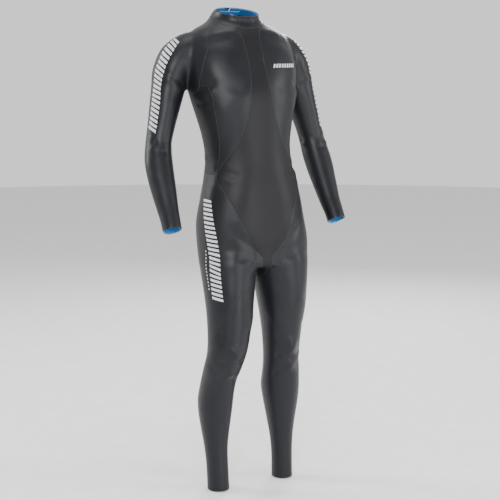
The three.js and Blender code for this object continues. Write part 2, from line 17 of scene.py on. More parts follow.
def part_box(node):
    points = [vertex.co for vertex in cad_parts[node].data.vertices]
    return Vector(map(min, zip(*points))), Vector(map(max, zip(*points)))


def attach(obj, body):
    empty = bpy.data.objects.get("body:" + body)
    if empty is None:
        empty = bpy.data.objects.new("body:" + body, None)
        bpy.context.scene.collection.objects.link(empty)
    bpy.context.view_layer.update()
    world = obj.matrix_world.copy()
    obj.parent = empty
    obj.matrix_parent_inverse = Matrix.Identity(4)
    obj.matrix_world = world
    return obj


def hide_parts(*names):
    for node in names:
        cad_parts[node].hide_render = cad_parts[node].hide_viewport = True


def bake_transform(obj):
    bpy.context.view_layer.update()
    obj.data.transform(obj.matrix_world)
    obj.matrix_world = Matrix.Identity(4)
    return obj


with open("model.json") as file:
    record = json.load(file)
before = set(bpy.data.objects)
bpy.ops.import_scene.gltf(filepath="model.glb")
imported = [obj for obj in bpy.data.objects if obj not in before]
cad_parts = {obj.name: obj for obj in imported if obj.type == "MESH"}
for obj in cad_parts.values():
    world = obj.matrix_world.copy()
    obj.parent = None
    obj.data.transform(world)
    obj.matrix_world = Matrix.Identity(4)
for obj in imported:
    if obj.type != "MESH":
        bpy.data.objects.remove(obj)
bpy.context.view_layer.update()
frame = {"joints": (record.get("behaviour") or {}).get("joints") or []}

bl_info = {
    "name": "Full wetsuit",
    "version": (1, 0, 0),
    "blender": (4, 5, 0),
    "location": "3D View > Sidebar > Wetsuit",
    "description": "Builds a full-length back-zip wetsuit from its cut panels",
    "category": "Add Mesh",
}

MM = 0.001
HEM_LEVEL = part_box("leg_shin_right")[0].z
NECK = Vector((-7, 24, -HEM_LEVEL / MM))    # the collar seam's centre, seen from the hems
SIDES = {"right": -1, "left": 1}

# ---------------------------------------------------------------- the body's sections

BACK_SQUARER = 0.5      # the back of a section is flatter than its front
SHOULDER_MIDDLE_X = -3
WRIST_HEIGHT = 784
ARM_TOP = 1299
COLLAR_TILT = math.radians(14)
COLLAR_LEAN = -7        # how far forward its top stands
COLLAR_HEIGHT = 31
RING_SEARCHES = 8       # rounds in which the nearest ring of an arm is found

# Height, centre x, centre y, half width, front depth, back depth, squareness
TORSO_ROWS = [
    (1400, -7, 20, 64, 60, 68, 2.0),
    (1376, -7, 24, 74, 66, 73, 2.0),
    (1362, -6, 24, 94, 70, 71, 2.0),
    (1347, -5, 24, 128, 80, 70, 2.0),
    (1325, -4, 22, 156, 92, 70, 2.1),
    (1280, -2, 16, 170, 104, 72, 2.3),
    (1220, 0, 6, 169, 116, 76, 2.4),
    (1160, 1, -4, 161, 122, 80, 2.4),
    (1100, 2, -16, 146, 113, 86, 2.3),
    (1040, 4, -27, 132, 102, 92, 2.2),
    (980, 7, -36, 128, 94, 95, 2.2),
    (920, 9, -42, 138, 94, 97, 2.2),
    (860, 11, -48, 152, 94, 110, 2.2),
    (800, 12, -50, 161, 95, 121, 2.3),
    (740, 17, -52, 168, 93, 122, 2.3),
    (680, 18, -54, 168, 88, 110, 2.3),
    (640, 17, -56, 164, 86, 102, 2.3),
]
# Height, centre x, centre y, half width, half depth
LEG_ROWS = {
    "right": [
        (735, -66, -48, 88, 100), (690, -68, -50, 86, 96), (640, -71, -56, 79, 90),
        (590, -75, -68, 73, 83), (530, -80, -80, 67, 74), (470, -86, -88, 62, 68),
        (415, -92, -88, 58, 63), (365, -100, -74, 56, 59), (320, -104, -54, 52, 57),
        (280, -106, -44, 51, 58), (235, -109, -42, 50, 56), (185, -111, -46, 44, 47),
        (130, -113, -54, 36, 38), (75, -113, -62, 33, 35), (0, -113, -70, 33, 35),
        (-30, -113, -71, 33, 35),
    ],
    "left": [
        (735, 94, -48, 90, 100), (690, 96, -50, 90, 96), (640, 99, -54, 84, 90),
        (590, 102, -58, 77, 84), (530, 104, -62, 70, 75), (470, 104, -62, 61, 66),
        (415, 104, -60, 55, 60), (365, 106, -56, 54, 57), (320, 108, -50, 56, 59),
        (280, 110, -44, 57, 61), (235, 112, -42, 52, 56), (185, 113, -42, 44, 47),
        (130, 114, -44, 36, 38), (75, 115, -46, 32, 34), (0, 115, -48, 32, 34),
        (-30, 115, -49, 32, 34),
    ],
}
# The same for an arm, whose x is counted outwards from the middle of the shoulders
ARM_ROWS = [
    (1300, 104, 20, 44, 46), (1281, 152, 34, 57, 54), (1258, 183, 40, 59, 56),
    (1222, 203, 42, 54, 54), (1182, 213, 38, 50, 50), (1127, 227, 32, 45, 46),
    (1072, 242, 24, 40, 42), (1022, 254, 18, 38, 40), (977, 261, 4, 41, 41),
    (932, 264, -18, 40, 39), (887, 266, -44, 37, 35), (842, 267, -70, 32, 31),
    (800, 269, -97, 29, 28), (783, 270, -106, 29, 28), (760, 271, -118, 29, 28),
]
# Distance along the collar's axis, half width, front depth, back depth
COLLAR_ROWS = [(-12, 72, 68, 68), (0, 70, 66, 66), (10, 66, 62, 63), (31, 64, 61, 62), (60, 62, 60, 61)]


def smooth_table(rows, steps=12):
    """Rows of a table joined by a smooth curve, in rising order of the first column."""
    rows = np.array(sorted(rows), float)
    padded = np.vstack([rows[:1], rows, rows[-1:]])
    t = np.linspace(0, 1, steps, endpoint=False)[:, None]
    parts = []
    for before, here, after, last in zip(padded, padded[1:], padded[2:], padded[3:]):
        slope = (after - before) * t
        bend = (2 * before - 5 * here + 4 * after - last) * t ** 2
        twist = (3 * here - before - 3 * after + last) * t ** 3
        curve = 0.5 * (2 * here + slope + bend + twist)
        curve[:, 0] = here[0] + (after[0] - here[0]) * t[:, 0]
        parts.append(curve)
    return np.vstack([*parts, rows[-1:]])


def read_table(table, height):
    """The columns of a smooth table at some heights."""
    return [np.interp(height, table[:, 0], column) for column in table.T[1:]]


def seam(*points):
    """A seam: a value for every height, given at a few of them."""
    table = smooth_table(points)
    return lambda height: np.interp(height, table[:, 0], table[:, 1])


TORSO = smooth_table(TORSO_ROWS)
LEGS = {side: smooth_table(rows) for side, rows in LEG_ROWS.items()}
ARM = smooth_table(ARM_ROWS)
COLLAR = smooth_table(COLLAR_ROWS)


def signed_power(value, power):
    return np.sign(value) * np.abs(value) ** power


def columns(*parts):
    return np.stack(np.broadcast_arrays(*parts), -1)


def torso_spot(height, degrees, out=0.0):
    """The place on the torso at a height and an angle from the front, towards the left."""
    x, y, width, front, back, square = read_table(TORSO, height)
    angle = np.radians(degrees)
    power = 2 / np.where(np.cos(angle) > 0, square, square + BACK_SQUARER)
    across = signed_power(np.sin(angle), power)
    along = signed_power(np.cos(angle), power)
    depth = np.where(along > 0, front, back)
    return columns(x + across * (width + out), y - along * (depth + out), height)


def torso_angle(spots):
    """The angle from the front of a place round the torso."""
    x, y, width, front, back, square = read_table(TORSO, spots[:, 2])
    ahead = y - spots[:, 1]
    power = np.where(ahead > 0, square, square + BACK_SQUARER) / 2
    depth = np.where(ahead > 0, front, back)
    across = signed_power((spots[:, 0] - x) / width, power)
    return np.degrees(np.arctan2(across, signed_power(ahead / depth, power)))


def leg_spot(side, height, degrees, out=0.0):
    x, y, width, depth = read_table(LEGS[side], height)
    angle = np.radians(degrees)
    across = SIDES[side] * np.sin(angle) * (width + out)
    return columns(x + across, y - np.cos(angle) * (depth + out), height)


def leg_angle(side, spots):
    """The angle from the front, towards the outside, from -90 on the inside up to 270."""
    x, y, width, depth = read_table(LEGS[side], spots[:, 2])
    across = SIDES[side] * (spots[:, 0] - x) / width
    degrees = np.degrees(np.arctan2(across, (y - spots[:, 1]) / depth))
    return (degrees + 90) % 360 - 90


def arm_frame(height):
    """The centre of an arm's ring, and the directions along, in front of and outside it."""
    x, y, width, depth = read_table(ARM, height)
    ahead = read_table(ARM, height + 1)
    behind = read_table(ARM, height - 1)
    along = columns(ahead[0] - behind[0], ahead[1] - behind[1], 2.0)
    along = along / np.linalg.norm(along, axis=-1, keepdims=True)
    front = np.array([0.0, -1.0, 0.0]) + along * along[..., 1:2]
    front = front / np.linalg.norm(front, axis=-1, keepdims=True)
    outward = np.cross(along, front)
    return columns(x, y, height), along, front, outward, width, depth


def arm_spot(side, height, degrees, out=0.0):
    centre, _, front, outward, width, depth = arm_frame(height)
    angle = np.radians(degrees)
    across = (np.sin(angle) * (width + out))[..., None]
    forward = (np.cos(angle) * (depth + out))[..., None]
    spots = centre + outward * across + front * forward
    spots[..., 0] = SHOULDER_MIDDLE_X + SIDES[side] * spots[..., 0]
    return spots


def arm_place(side, spots):
    """The height of the ring that a place near an arm lies on, and its angle round it."""
    local = spots.copy()
    local[:, 0] = SIDES[side] * (spots[:, 0] - SHOULDER_MIDDLE_X)
    height = np.clip(local[:, 2], ARM[0, 0], ARM_TOP)
    for _ in range(RING_SEARCHES):
        centre, along = arm_frame(height)[:2]
        step = np.sum((local - centre) * along, -1) * along[:, 2]
        height = np.clip(height + step, ARM[0, 0], ARM_TOP)
    centre, _, front, outward, width, depth = arm_frame(height)
    across = np.sum((local - centre) * outward, -1) / width
    forward = np.sum((local - centre) * front, -1) / depth
    return height, np.degrees(np.arctan2(across, forward))


def collar_spot(height, degrees, out=0.0):
    width, front, back = read_table(COLLAR, height)
    angle = np.radians(degrees)
    depth = np.where(np.cos(angle) > 0, front, back)
    lean = COLLAR_LEAN * height / COLLAR_HEIGHT
    x = np.sin(angle) * (width + out)
    y = lean - np.cos(angle) * (depth + out)
    turn_y = y * math.cos(COLLAR_TILT) - height * math.sin(COLLAR_TILT)
    turn_z = y * math.sin(COLLAR_TILT) + height * math.cos(COLLAR_TILT)
    return columns(x + NECK.x, turn_y + NECK.y, turn_z + NECK.z)


def collar_place(spots):
    """The height along the collar's axis, the angle from the front, and the distance from the axis."""
    x, y, z = (spots - np.array(NECK)).T
    height = z * math.cos(COLLAR_TILT) - y * math.sin(COLLAR_TILT)
    ahead = -(y * math.cos(COLLAR_TILT) + z * math.sin(COLLAR_TILT))
    ahead = ahead + COLLAR_LEAN * height / COLLAR_HEIGHT
    return height, np.degrees(np.arctan2(x, ahead)), np.hypot(x, ahead)


# ---------------------------------------------------------------- the form

VOXEL = 4.6
FORM_SMOOTHING = 14
SWELL_SMOOTHING = 2
# Lowest and highest ring of each tube of the form, and the steps between them
TORSO_TUBE = (664, 1400, 120)
LEG_TUBE = (-30, 800, 140)
ARM_TUBE = (762, 1300, 110)
COLLAR_TUBE = (-12, 60, 16)
RING_STEPS = 64
HIP_TAPER = 0.4         # how fast a leg narrows as it goes up into the hip
HIP_TAPER_START = 680

# Soft bulges and hollows of the body under the suit, mirrored on both sides: where each starts and
# ends (part, height, angle), how wide it is, and how far it stands out
SWELLS = [
    (("torso", 1262, 30), ("torso", 1250, 44), 48, 3.6),      # chest
    (("torso", 1178, 22), ("torso", 1196, 58), 18, -2.4),     # under the chest
    (("torso", 1150, 62), ("torso", 1120, 48), 22, 3.0),      # ribs
    (("torso", 1085, 52), ("torso", 1060, 60), 30, 2.0),
    (("torso", 1340, 20), ("torso", 1334, 42), 12, 2.6),      # collarbone
    (("torso", 1318, 26), ("torso", 1308, 46), 18, -2.2),
    (("torso", 1235, 152), ("torso", 1195, 148), 40, 5.0),    # shoulder blade
    (("torso", 1010, 152), ("torso", 1090, 156), 26, 3.0),    # either side of the spine
    (("torso", 775, 146), ("torso", 740, 150), 52, 8.0),      # seat
    (("torso", 900, 20), ("torso", 870, 26), 45, 2.5),        # belly
    (("torso", 925, 62), ("torso", 905, 66), 18, 3.4),        # hip bone
    (("arm", 1272, 88), ("arm", 1240, 84), 30, -4.0),         # shoulder cap
    (("arm", 1240, 20), ("arm", 1205, 30), 26, 3.0),
    (("arm", 1205, 60), ("arm", 1180, 75), 20, -1.8),
    (("arm", 1130, 20), ("arm", 1095, 10), 26, 2.6),          # upper arm
    (("arm", 1125, 180), ("arm", 1090, 180), 26, 2.6),
    (("arm", 1006, 178), ("arm", 1000, 182), 16, 3.4),        # elbow
    (("arm", 1024, -85), ("arm", 1014, 40), 7, -3.6),         # folds in front of the elbow
    (("arm", 1009, -80), ("arm", 1000, 50), 8, 2.4),
    (("arm", 993, -95), ("arm", 984, 10), 7, -2.8),
    (("arm", 1038, -20), ("arm", 1030, 60), 7, 1.6),
    (("arm", 1190, -20), ("arm", 1212, 40), 9, -2.4),         # creases round the armpit
    (("arm", 1172, -30), ("arm", 1196, 30), 8, 1.8),
    (("torso", 1168, 74), ("torso", 1192, 50), 8, -1.8),
    (("torso", 1150, 80), ("torso", 1172, 54), 9, 1.4),
    (("torso", 1130, 84), ("torso", 1142, 62), 6, -1.6),
    (("torso", 948, 68), ("torso", 932, 36), 8, -1.8),        # creases at the waist
    (("torso", 930, 68), ("torso", 914, 44), 9, 1.6),
    (("torso", 966, 70), ("torso", 958, 52), 9, 1.2),
    (("torso", 968, 150), ("torso", 955, 118), 8, -2.0),
    (("torso", 985, 140), ("torso", 975, 100), 8, 1.6),
    (("arm", 955, 70), ("arm", 930, 60), 22, 2.0),            # forearm
    (("leg", 560, 15), ("leg", 620, 20), 40, 3.0),            # thigh
    (("leg", 500, -42), ("leg", 515, -48), 22, 3.0),
    (("leg", 424, 4), ("leg", 412, 2), 17, 9.0),              # knee
    (("leg", 364, 2), ("leg", 356, 0), 12, 7.0),
    (("leg", 389, -40), ("leg", 393, 40), 7, -4.5),
    (("leg", 334, -46), ("leg", 340, 40), 8, -3.2),
    (("leg", 448, -40), ("leg", 455, 50), 8, -1.8),
    (("leg", 372, 60), ("leg", 352, 30), 8, -1.8),
    (("leg", 600, -30), ("leg", 560, 40), 12, -1.4),
    (("leg", 478, -45), ("leg", 476, 52), 12, -2.0),
    (("leg", 430, 150), ("leg", 430, 210), 9, -3.0),          # back of the knee
    (("leg", 268, 150), ("leg", 290, 205), 34, 3.6),          # calf
    (("torso", 775, 38), ("torso", 700, 8), 12, -3.2),        # groin
    (("torso", 800, 30), ("torso", 742, 4), 18, 1.4),
    (("leg", 690, 4), ("leg", 700, -50), 9, -2.2),
    (("leg", 640, 205), ("leg", 668, 150), 14, -5.0),         # under the seat
]
SPOT_OF = {"arm": arm_spot, "leg": leg_spot}


def in_place(spots):
    """Places in the frame, in metres, of places above the hems."""
    return (np.asarray(spots) - np.array(NECK)) * MM


def above_hems(places):
    return np.asarray(places) / MM + np.array(NECK)


def vertex_spots(bm):
    return above_hems([v.co[:] for v in bm.verts])


def add_grid(bm, across, along, spot):
    """A grid laid on a surface: spot turns two shares, across and along it, into places."""
    verts = bmesh.ops.create_grid(bm, x_segments=across, y_segments=along, size=0.5)["verts"]
    shares = np.array([v.co[:2] for v in verts]) + 0.5
    for vert, place in zip(verts, in_place(spot(shares[:, 0], shares[:, 1]))):
        vert.co = place
    return verts


def add_tube(bm, spot, low, high, along):
    """A closed tube round the body, a leg, an arm or the neck."""
    verts = add_grid(bm, RING_STEPS, along, lambda u, v: spot(low + (high - low) * v, 360 * u))
    bmesh.ops.remove_doubles(bm, verts=verts, dist=MM * 0.01)
    rim = [e for e in bm.edges if e.is_boundary]
    bmesh.ops.holes_fill(bm, edges=rim)


def new_object(name, bm):
    mesh = bpy.data.meshes.new(name)
    bm.to_mesh(mesh)
    bm.free()
    obj = bpy.data.objects.new(name, mesh)
    bpy.context.scene.collection.objects.link(obj)
    return obj


def with_modifier(obj, kind, **settings):
    modifier = obj.modifiers.new(kind.lower(), kind)
    for name, value in settings.items():
        setattr(modifier, name, value)
    return modifier


def baked_mesh(obj):
    """The object's mesh with its modifiers applied."""
    graph = bpy.context.evaluated_depsgraph_get()
    return bpy.data.meshes.new_from_object(obj.evaluated_get(graph))


def distance_to_line(spots, start, end):
    way = end - start
    share = np.clip((spots - start) @ way / max(way @ way, 1e-9), 0, 1)
    return np.linalg.norm(spots - start - share[:, None] * way, axis=1)


def smooth(bm, verts=None):
    bmesh.ops.smooth_vert(
        bm, verts=bm.verts if verts is None else verts, factor=0.5,
        use_axis_x=True, use_axis_y=True, use_axis_z=True)


def swell_end(part, height, degrees, side):
    if part == "torso":
        return torso_spot(float(height), SIDES[side] * degrees)
    return SPOT_OF[part](side, np.float64(height), np.float64(degrees))


def add_swells(bm):
    """Pushes the form's skin out and in, as the body under it does."""
    spots = vertex_spots(bm)
    bm.normal_update()
    normals = np.array([v.normal[:] for v in bm.verts])
    lift = np.zeros(len(spots))
    for start, end, width, height in SWELLS:
        for side in SIDES:
            a, b = swell_end(*start, side), swell_end(*end, side)
            gap = distance_to_line(spots, a, b)
            lift += height * np.exp(-(gap / width) ** 2)
    for vert, place in zip(bm.verts, in_place(spots + normals * lift[:, None])):
        vert.co = place


def leg_in_hip(side, height, degrees):
    """A leg that narrows as it goes up into the hip, so that it leaves no step there."""
    return leg_spot(side, height, degrees, -HIP_TAPER * np.maximum(height - HIP_TAPER_START, 0))


def body_form():
    """One smooth skin over the torso, arms, legs and neck."""
    bm = bmesh.new()
    add_tube(bm, torso_spot, *TORSO_TUBE)
    for side in SIDES:
        add_tube(bm, functools.partial(leg_in_hip, side), *LEG_TUBE)
        add_tube(bm, functools.partial(arm_spot, side), *ARM_TUBE)
    add_tube(bm, collar_spot, *COLLAR_TUBE)
    bmesh.ops.recalc_face_normals(bm, faces=bm.faces)
    rough = new_object("form", bm)
    with_modifier(rough, "REMESH", mode="VOXEL", voxel_size=VOXEL * MM)
    mesh = baked_mesh(rough)
    bpy.data.objects.remove(rough)
    bm = bmesh.new()
    bm.from_mesh(mesh)
    bpy.data.meshes.remove(mesh)
    for _ in range(FORM_SMOOTHING):
        smooth(bm)
    add_swells(bm)
    for _ in range(SWELL_SMOOTHING):
        smooth(bm)
    return bm


# ---------------------------------------------------------------- the seams

WAIST_HEIGHT = 932
WAIST_DIP = 8
COLLAR_FRONT_SEAM = 17  # degrees either side of the front
COLLAR_BACK_GAP = 8     # degrees either side of the back
NECK_BOTTOM, NECK_REACH = -16, 92       # along the collar's axis, and away from it
SLOT_HALF = 12.5
SLOT_BOTTOM = 953
BACK_Y = 40             # the zip's slot is cut only behind this
CROTCH_MIDDLE_X = 13
GUSSET_HALF = 15
GUSSET_BOTTOM = 636
GROIN_FRONT, GROIN_FRONT_RISE = 680, 1.0        # the front panel's point and the slope of its edges
GROIN_BACK, GROIN_BACK_RISE = 664, 0.36
HIP_TURN_TOP, HIP_TURN_HEIGHT = 735, 90         # where the torso's angles give way to the leg's
SIDE_PANEL_TOP = 1185
UPPER_BOTTOM = 925      # the seams of the upper body run down to here, a little past the waist
UNDER_ARM_SEAM = -95    # degrees round the arm
CALF_SEAM = 172         # degrees round the leg
CALF_SEAM_TOP = 388
# The lowest and highest levels between which a line is cut; each runs a little past its seam's ends
SIDE_CUT = (UPPER_BOTTOM, SIDE_PANEL_TOP + 5)
SHOULDER_CUT = (1100, math.inf)
ZIP_CUT = (940, math.inf)
GROIN_CUT = (600, 800)
GUSSET_CUT = (600, 720)
LEG_CUT = (350, WAIST_HEIGHT + 14)
CALF_CUT = (-math.inf, 395)
WRIST_CUT = (-math.inf, 860)
UNDER_ARM_CUT = (-math.inf, 1190)
ANKLE_CUT = (-math.inf, 60)
WAIST_CUT_FROM = 55     # degrees from the front
ZIP_TOP = np.array([-6.5, 97, 1378])
ZIP_BOTTOM = np.array([7.5, 57, 960])

CENTRE_SEAM = seam(
    (1400, 27), (1362, 22), (1330, 11), (1290, 6.6), (1215, 6.2), (1170, 8.2),
    (1095, 15), (1030, 29), (1000, 41), (970, 56), (938, 69), (900, 75),
)
SIDE_FRONT = seam((1200, 63), (1160, 54), (1100, 57), (1040, 60), (980, 66), (938, 72), (900, 74))
SIDE_BACK = seam((1200, 122), (1160, 116), (1040, 118), (938, 122), (900, 124))
HIP_FRONT = seam(
    (960, 74), (926, 69), (885, 52), (847, 39), (808, 28.5), (765, 20), (700, 13), (640, 10),
)
SEAT_SIDE = seam((960, 133), (860, 138), (760, 146), (660, 152))
# Distance of the sleeve's seam from the middle of the torso, in front and behind
BELOW_ARMPIT = [(1150, 164), (1100, 169), (1040, 173), (900, 192), (740, 205)]
SLEEVE_FRONT = seam(
    (1400, 54), (1385, 58), (1376, 66), (1362, 86), (1325, 121), (1300, 126), (1258, 145),
    (1212, 156), (1176, 158), *BELOW_ARMPIT,
)
SLEEVE_BACK = seam(
    (1400, 50), (1385, 56), (1376, 63), (1362, 81), (1325, 122), (1300, 131), (1258, 141),
    (1212, 149), (1176, 156), *BELOW_ARMPIT,
)
THIGH_FRONT = seam(
    (740, -27), (690, -25), (645, -16), (600, 0), (560, 22), (520, 45), (470, 76), (430, 106),
    (400, 136), (375, 172), (340, 215),
)
THIGH_BACK = seam((740, 200), (520, 200), (440, 192), (375, 172), (340, 160))
COLLAR_SEAM = seam((0, 0), (50, 4), (90, 11), (130, 8), (180, 3))


def smooth_step(value):
    t = np.clip(value, 0, 1)
    return t * t * (3 - 2 * t)


def middle_x(spots):
    return (read_table(LEGS["right"], spots[:, 2])[0] + read_table(LEGS["left"], spots[:, 2])[0]) / 2


def near_neck(spots):
    height, _, reach = collar_place(spots)
    return (height > NECK_BOTTOM) & (reach < NECK_REACH)


def above_collar_seam(spots):
    height, degrees, _ = collar_place(spots)
    return height - COLLAR_SEAM(np.abs(degrees))


def below_collar_top(spots):
    return COLLAR_HEIGHT - collar_place(spots)[0]


def collar_turn(degrees):
    return lambda spots: np.abs(collar_place(spots)[1]) - degrees


def in_sleeve(spots):
    """Above zero on the sleeves' side of the shoulder seams."""
    x, y = read_table(TORSO, spots[:, 2])[:2]
    behind = smooth_step((spots[:, 1] - 4) / 40)
    front, back = SLEEVE_FRONT(spots[:, 2]), SLEEVE_BACK(spots[:, 2])
    return np.abs(spots[:, 0] - x) - front - (back - front) * behind


def torso_turn(edge):
    return lambda spots: np.abs(torso_angle(spots)) - edge(spots[:, 2])


def own_side(side):
    return lambda spots: (spots[:, 0] - middle_x(spots)) * SIDES[side] > -12


def blended_turn(side, torso_edge, leg_edge):
    """The angle past a seam that runs from the torso down on to a leg."""
    def turn(spots):
        share = smooth_step((HIP_TURN_TOP - spots[:, 2]) / HIP_TURN_HEIGHT)
        past_torso = np.abs(torso_angle(spots)) - torso_edge(spots[:, 2])
        past_leg = leg_angle(side, spots) - leg_edge(spots[:, 2])
        return past_torso * (1 - share) + past_leg * share
    return turn


def past_hip_seam(side):
    return blended_turn(side, HIP_FRONT, THIGH_FRONT)


def past_seat_seam(side):
    return blended_turn(side, SEAT_SIDE, THIGH_BACK)


def above_waist(spots):
    """The waist seam dips a little towards the middle of the back."""
    behind = smooth_step((np.abs(torso_angle(spots)) - 100) / 80)
    return spots[:, 2] - WAIST_HEIGHT - WAIST_DIP * behind * (1 - behind)


def above_groin(spots):
    """The front panel ends in a blunt point between the legs, the seat in a flatter one."""
    out = np.abs(spots[:, 0] - CROTCH_MIDDLE_X)
    behind = smooth_step((spots[:, 1] + 80) / 50)
    front_line = GROIN_FRONT + GROIN_FRONT_RISE * out
    back_line = GROIN_BACK + GROIN_BACK_RISE * out
    return spots[:, 2] - front_line - (back_line - front_line) * behind


def across_middle(spots):
    return spots[:, 0] - middle_x(spots)


def gusset_side(spots):
    return np.abs(spots[:, 0] - CROTCH_MIDDLE_X) - GUSSET_HALF


def above_gusset_end(spots):
    return spots[:, 2] - GUSSET_BOTTOM


def zip_gap(spots):
    """The distance sideways from the zip's line, less half the slot."""
    share = (ZIP_TOP[2] - spots[:, 2]) / (ZIP_TOP[2] - ZIP_BOTTOM[2])
    line_x = ZIP_TOP[0] + share * (ZIP_BOTTOM[0] - ZIP_TOP[0])
    return np.abs(spots[:, 0] - line_x) - SLOT_HALF


def above_slot_end(spots):
    return spots[:, 2] - SLOT_BOTTOM


def above_ankle(spots):
    return spots[:, 2]


def above_wrist(side):
    return lambda spots: arm_place(side, spots)[0] - WRIST_HEIGHT


def under_arm(side):
    """The sleeve's own seam, down its inner side."""
    return lambda spots: (arm_place(side, spots)[1] - UNDER_ARM_SEAM + 180) % 360 - 180


def calf_back(side):
    return lambda spots: leg_angle(side, spots) - CALF_SEAM


def level_within(spots, levels):
    return (spots[:, 2] > levels[0]) & (spots[:, 2] < levels[1])


def on_trunk(spots):
    return (in_sleeve(spots) < 8) & (spots[:, 2] > GROIN_CUT[0])


def on_upper_body(spots):
    return on_trunk(spots) & (spots[:, 2] > UPPER_BOTTOM)


def on_leg(spots):
    return (in_sleeve(spots) < 0) & level_within(spots, LEG_CUT)


def on_sleeve(spots):
    return in_sleeve(spots) > 0


def below_collar(spots):
    return above_collar_seam(spots) < 6


def on_collar_band(spots):
    return near_neck(spots) & (above_collar_seam(spots) > -6)


def seam_lines():
    """Every line that the skin is cut along, with the part of the body that it runs over."""
    yield above_collar_seam, near_neck
    yield below_collar_top, near_neck
    yield collar_turn(COLLAR_FRONT_SEAM), on_collar_band
    yield collar_turn(180 - COLLAR_BACK_GAP), on_collar_band
    yield in_sleeve, lambda s: level_within(s, SHOULDER_CUT) & below_collar(s)
    yield torso_turn(CENTRE_SEAM), lambda s: on_upper_body(s) & below_collar(s)
    for edge in (SIDE_FRONT, SIDE_BACK):
        yield torso_turn(edge), lambda s: on_trunk(s) & level_within(s, SIDE_CUT)
    yield zip_gap, lambda s: level_within(s, ZIP_CUT) & (s[:, 1] > BACK_Y) & below_collar(s)
    yield above_slot_end, lambda s: (s[:, 1] > BACK_Y) & (zip_gap(s) < 8)
    yield above_waist, lambda s: on_trunk(s) & (np.abs(torso_angle(s)) > WAIST_CUT_FROM)
    yield above_groin, lambda s: on_trunk(s) & level_within(s, GROIN_CUT)
    yield gusset_side, lambda s: level_within(s, GUSSET_CUT)
    yield above_gusset_end, lambda s: gusset_side(s) < GUSSET_HALF
    for side in SIDES:
        own = own_side(side)
        yield past_hip_seam(side), lambda s, own=own: own(s) & on_leg(s)
        yield past_seat_seam(side), lambda s, own=own: own(s) & on_leg(s)
        yield calf_back(side), lambda s, own=own: own(s) & level_within(s, CALF_CUT)
        yield above_wrist(side), lambda s, own=own: own(s) & on_sleeve(s) & level_within(s, WRIST_CUT)
        yield under_arm(side), lambda s, own=own: own(s) & on_sleeve(s) & level_within(s, UNDER_ARM_CUT)
    yield above_ankle, lambda s: level_within(s, ANKLE_CUT)


SLIDE = 0.42            # share of an edge over which a vertex is slid on to a seam
LARGEST_STEP = 60       # a bigger change along an edge isn't a seam but the far side of a circle
SHORTEST_EDGE = 1.3     # the ends of a shorter edge are merged once the skin is cut


def cut_along(bm, field, where):
    """Splits the skin's faces where the field passes through zero.
    A vertex close to that line is slid on to it, so that no sliver of a face is left."""
    done = bm.verts.layers.int.get("on_seam") or bm.verts.layers.int.new("on_seam")
    bm.verts.ensure_lookup_table()
    bm.edges.ensure_lookup_table()
    spots = vertex_spots(bm)
    value = np.full(len(spots), np.nan)
    inside = where(spots)
    value[inside] = field(spots[inside])
    ends = np.array([(e.verts[0].index, e.verts[1].index) for e in bm.edges])
    first, second = value[ends[:, 0]], value[ends[:, 1]]
    with np.errstate(invalid="ignore"):
        found = (first * second < 0) & (np.abs(first - second) < LARGEST_STEP)
    crossing = np.flatnonzero(found)
    share = {i: first[i] / (first[i] - second[i]) for i in crossing}
    nearest = {}
    for i in crossing:
        for end, gap in ((0, share[i]), (1, 1 - share[i])):
            index = ends[i, end]
            free = not bm.verts[index][done]
            if free and gap < min(SLIDE, nearest.get(index, (1, 0))[0]):
                nearest[index] = (gap, i)
    slid = {}
    for index, (_, i) in nearest.items():
        low, high = bm.edges[i].verts
        slid[index] = low.co.lerp(high.co, share[i])
    line = []
    for index, place in slid.items():
        bm.verts[index].co = place
        line.append(bm.verts[index])
    cuts = [
        (bm.edges[i], share[i]) for i in crossing
        if ends[i, 0] not in slid and ends[i, 1] not in slid
    ]
    for edge, part in cuts:
        line.append(bmesh.utils.edge_split(edge, edge.verts[0], part)[1])
    for vert in line:
        vert[done] = 1
    bmesh.ops.connect_verts(bm, verts=line, check_degenerate=True)
    bm.verts.index_update()


def piece_names(spots):
    """The piece that each place on the skin belongs to; an empty name is an offcut."""
    height, degrees, _ = collar_place(spots)
    turn = np.abs(torso_angle(spots))
    level = spots[:, 2]
    side = np.where(across_middle(spots) > 0, "left", "right")

    def own(test):
        return np.where(side == "left", test("left")(spots), test("right")(spots))

    def sided(name):
        return np.char.add(name + "_", side)

    neck = near_neck(spots) & (above_collar_seam(spots) > 0)
    upper = above_waist(spots) > 0
    outer_leg = (own(past_hip_seam) > 0) & (own(past_seat_seam) < 0)
    groin = above_groin(spots) > 0
    slot = (zip_gap(spots) < 0) & (spots[:, 1] > BACK_Y) & (above_slot_end(spots) > 0)
    under_arm_panel = (level < SIDE_PANEL_TOP) & (turn > SIDE_FRONT(level)) & (turn < SIDE_BACK(level))
    on_collar_side = np.where(degrees > 0, "collar_left", "collar_right")
    rules = [
        (neck & (height > COLLAR_HEIGHT), ""),
        (neck & (np.abs(degrees) < COLLAR_FRONT_SEAM), "collar_front"),
        (neck & (np.abs(degrees) > 180 - COLLAR_BACK_GAP), ""),
        (neck, on_collar_side),
        ((in_sleeve(spots) > 0) & (own(above_wrist) < 0), ""),
        (in_sleeve(spots) > 0, sided("sleeve")),
        (slot, ""),
        (upper & (turn < CENTRE_SEAM(level)), "front_centre"),
        (upper & under_arm_panel, sided("side")),
        (upper & (turn < 95), sided("chest")),
        (upper, sided("back")),
        (level < 0, ""),
        (outer_leg, sided("leg_outer")),
        (groin & (turn < 90), "front_centre"),
        (groin, "seat"),
        ((gusset_side(spots) < 0) & (above_gusset_end(spots) > 0), "gusset"),
    ]
    names = [np.broadcast_to(name, level.shape) for _, name in rules]
    return np.select([rule for rule, _ in rules], names, sided("leg_inner"))


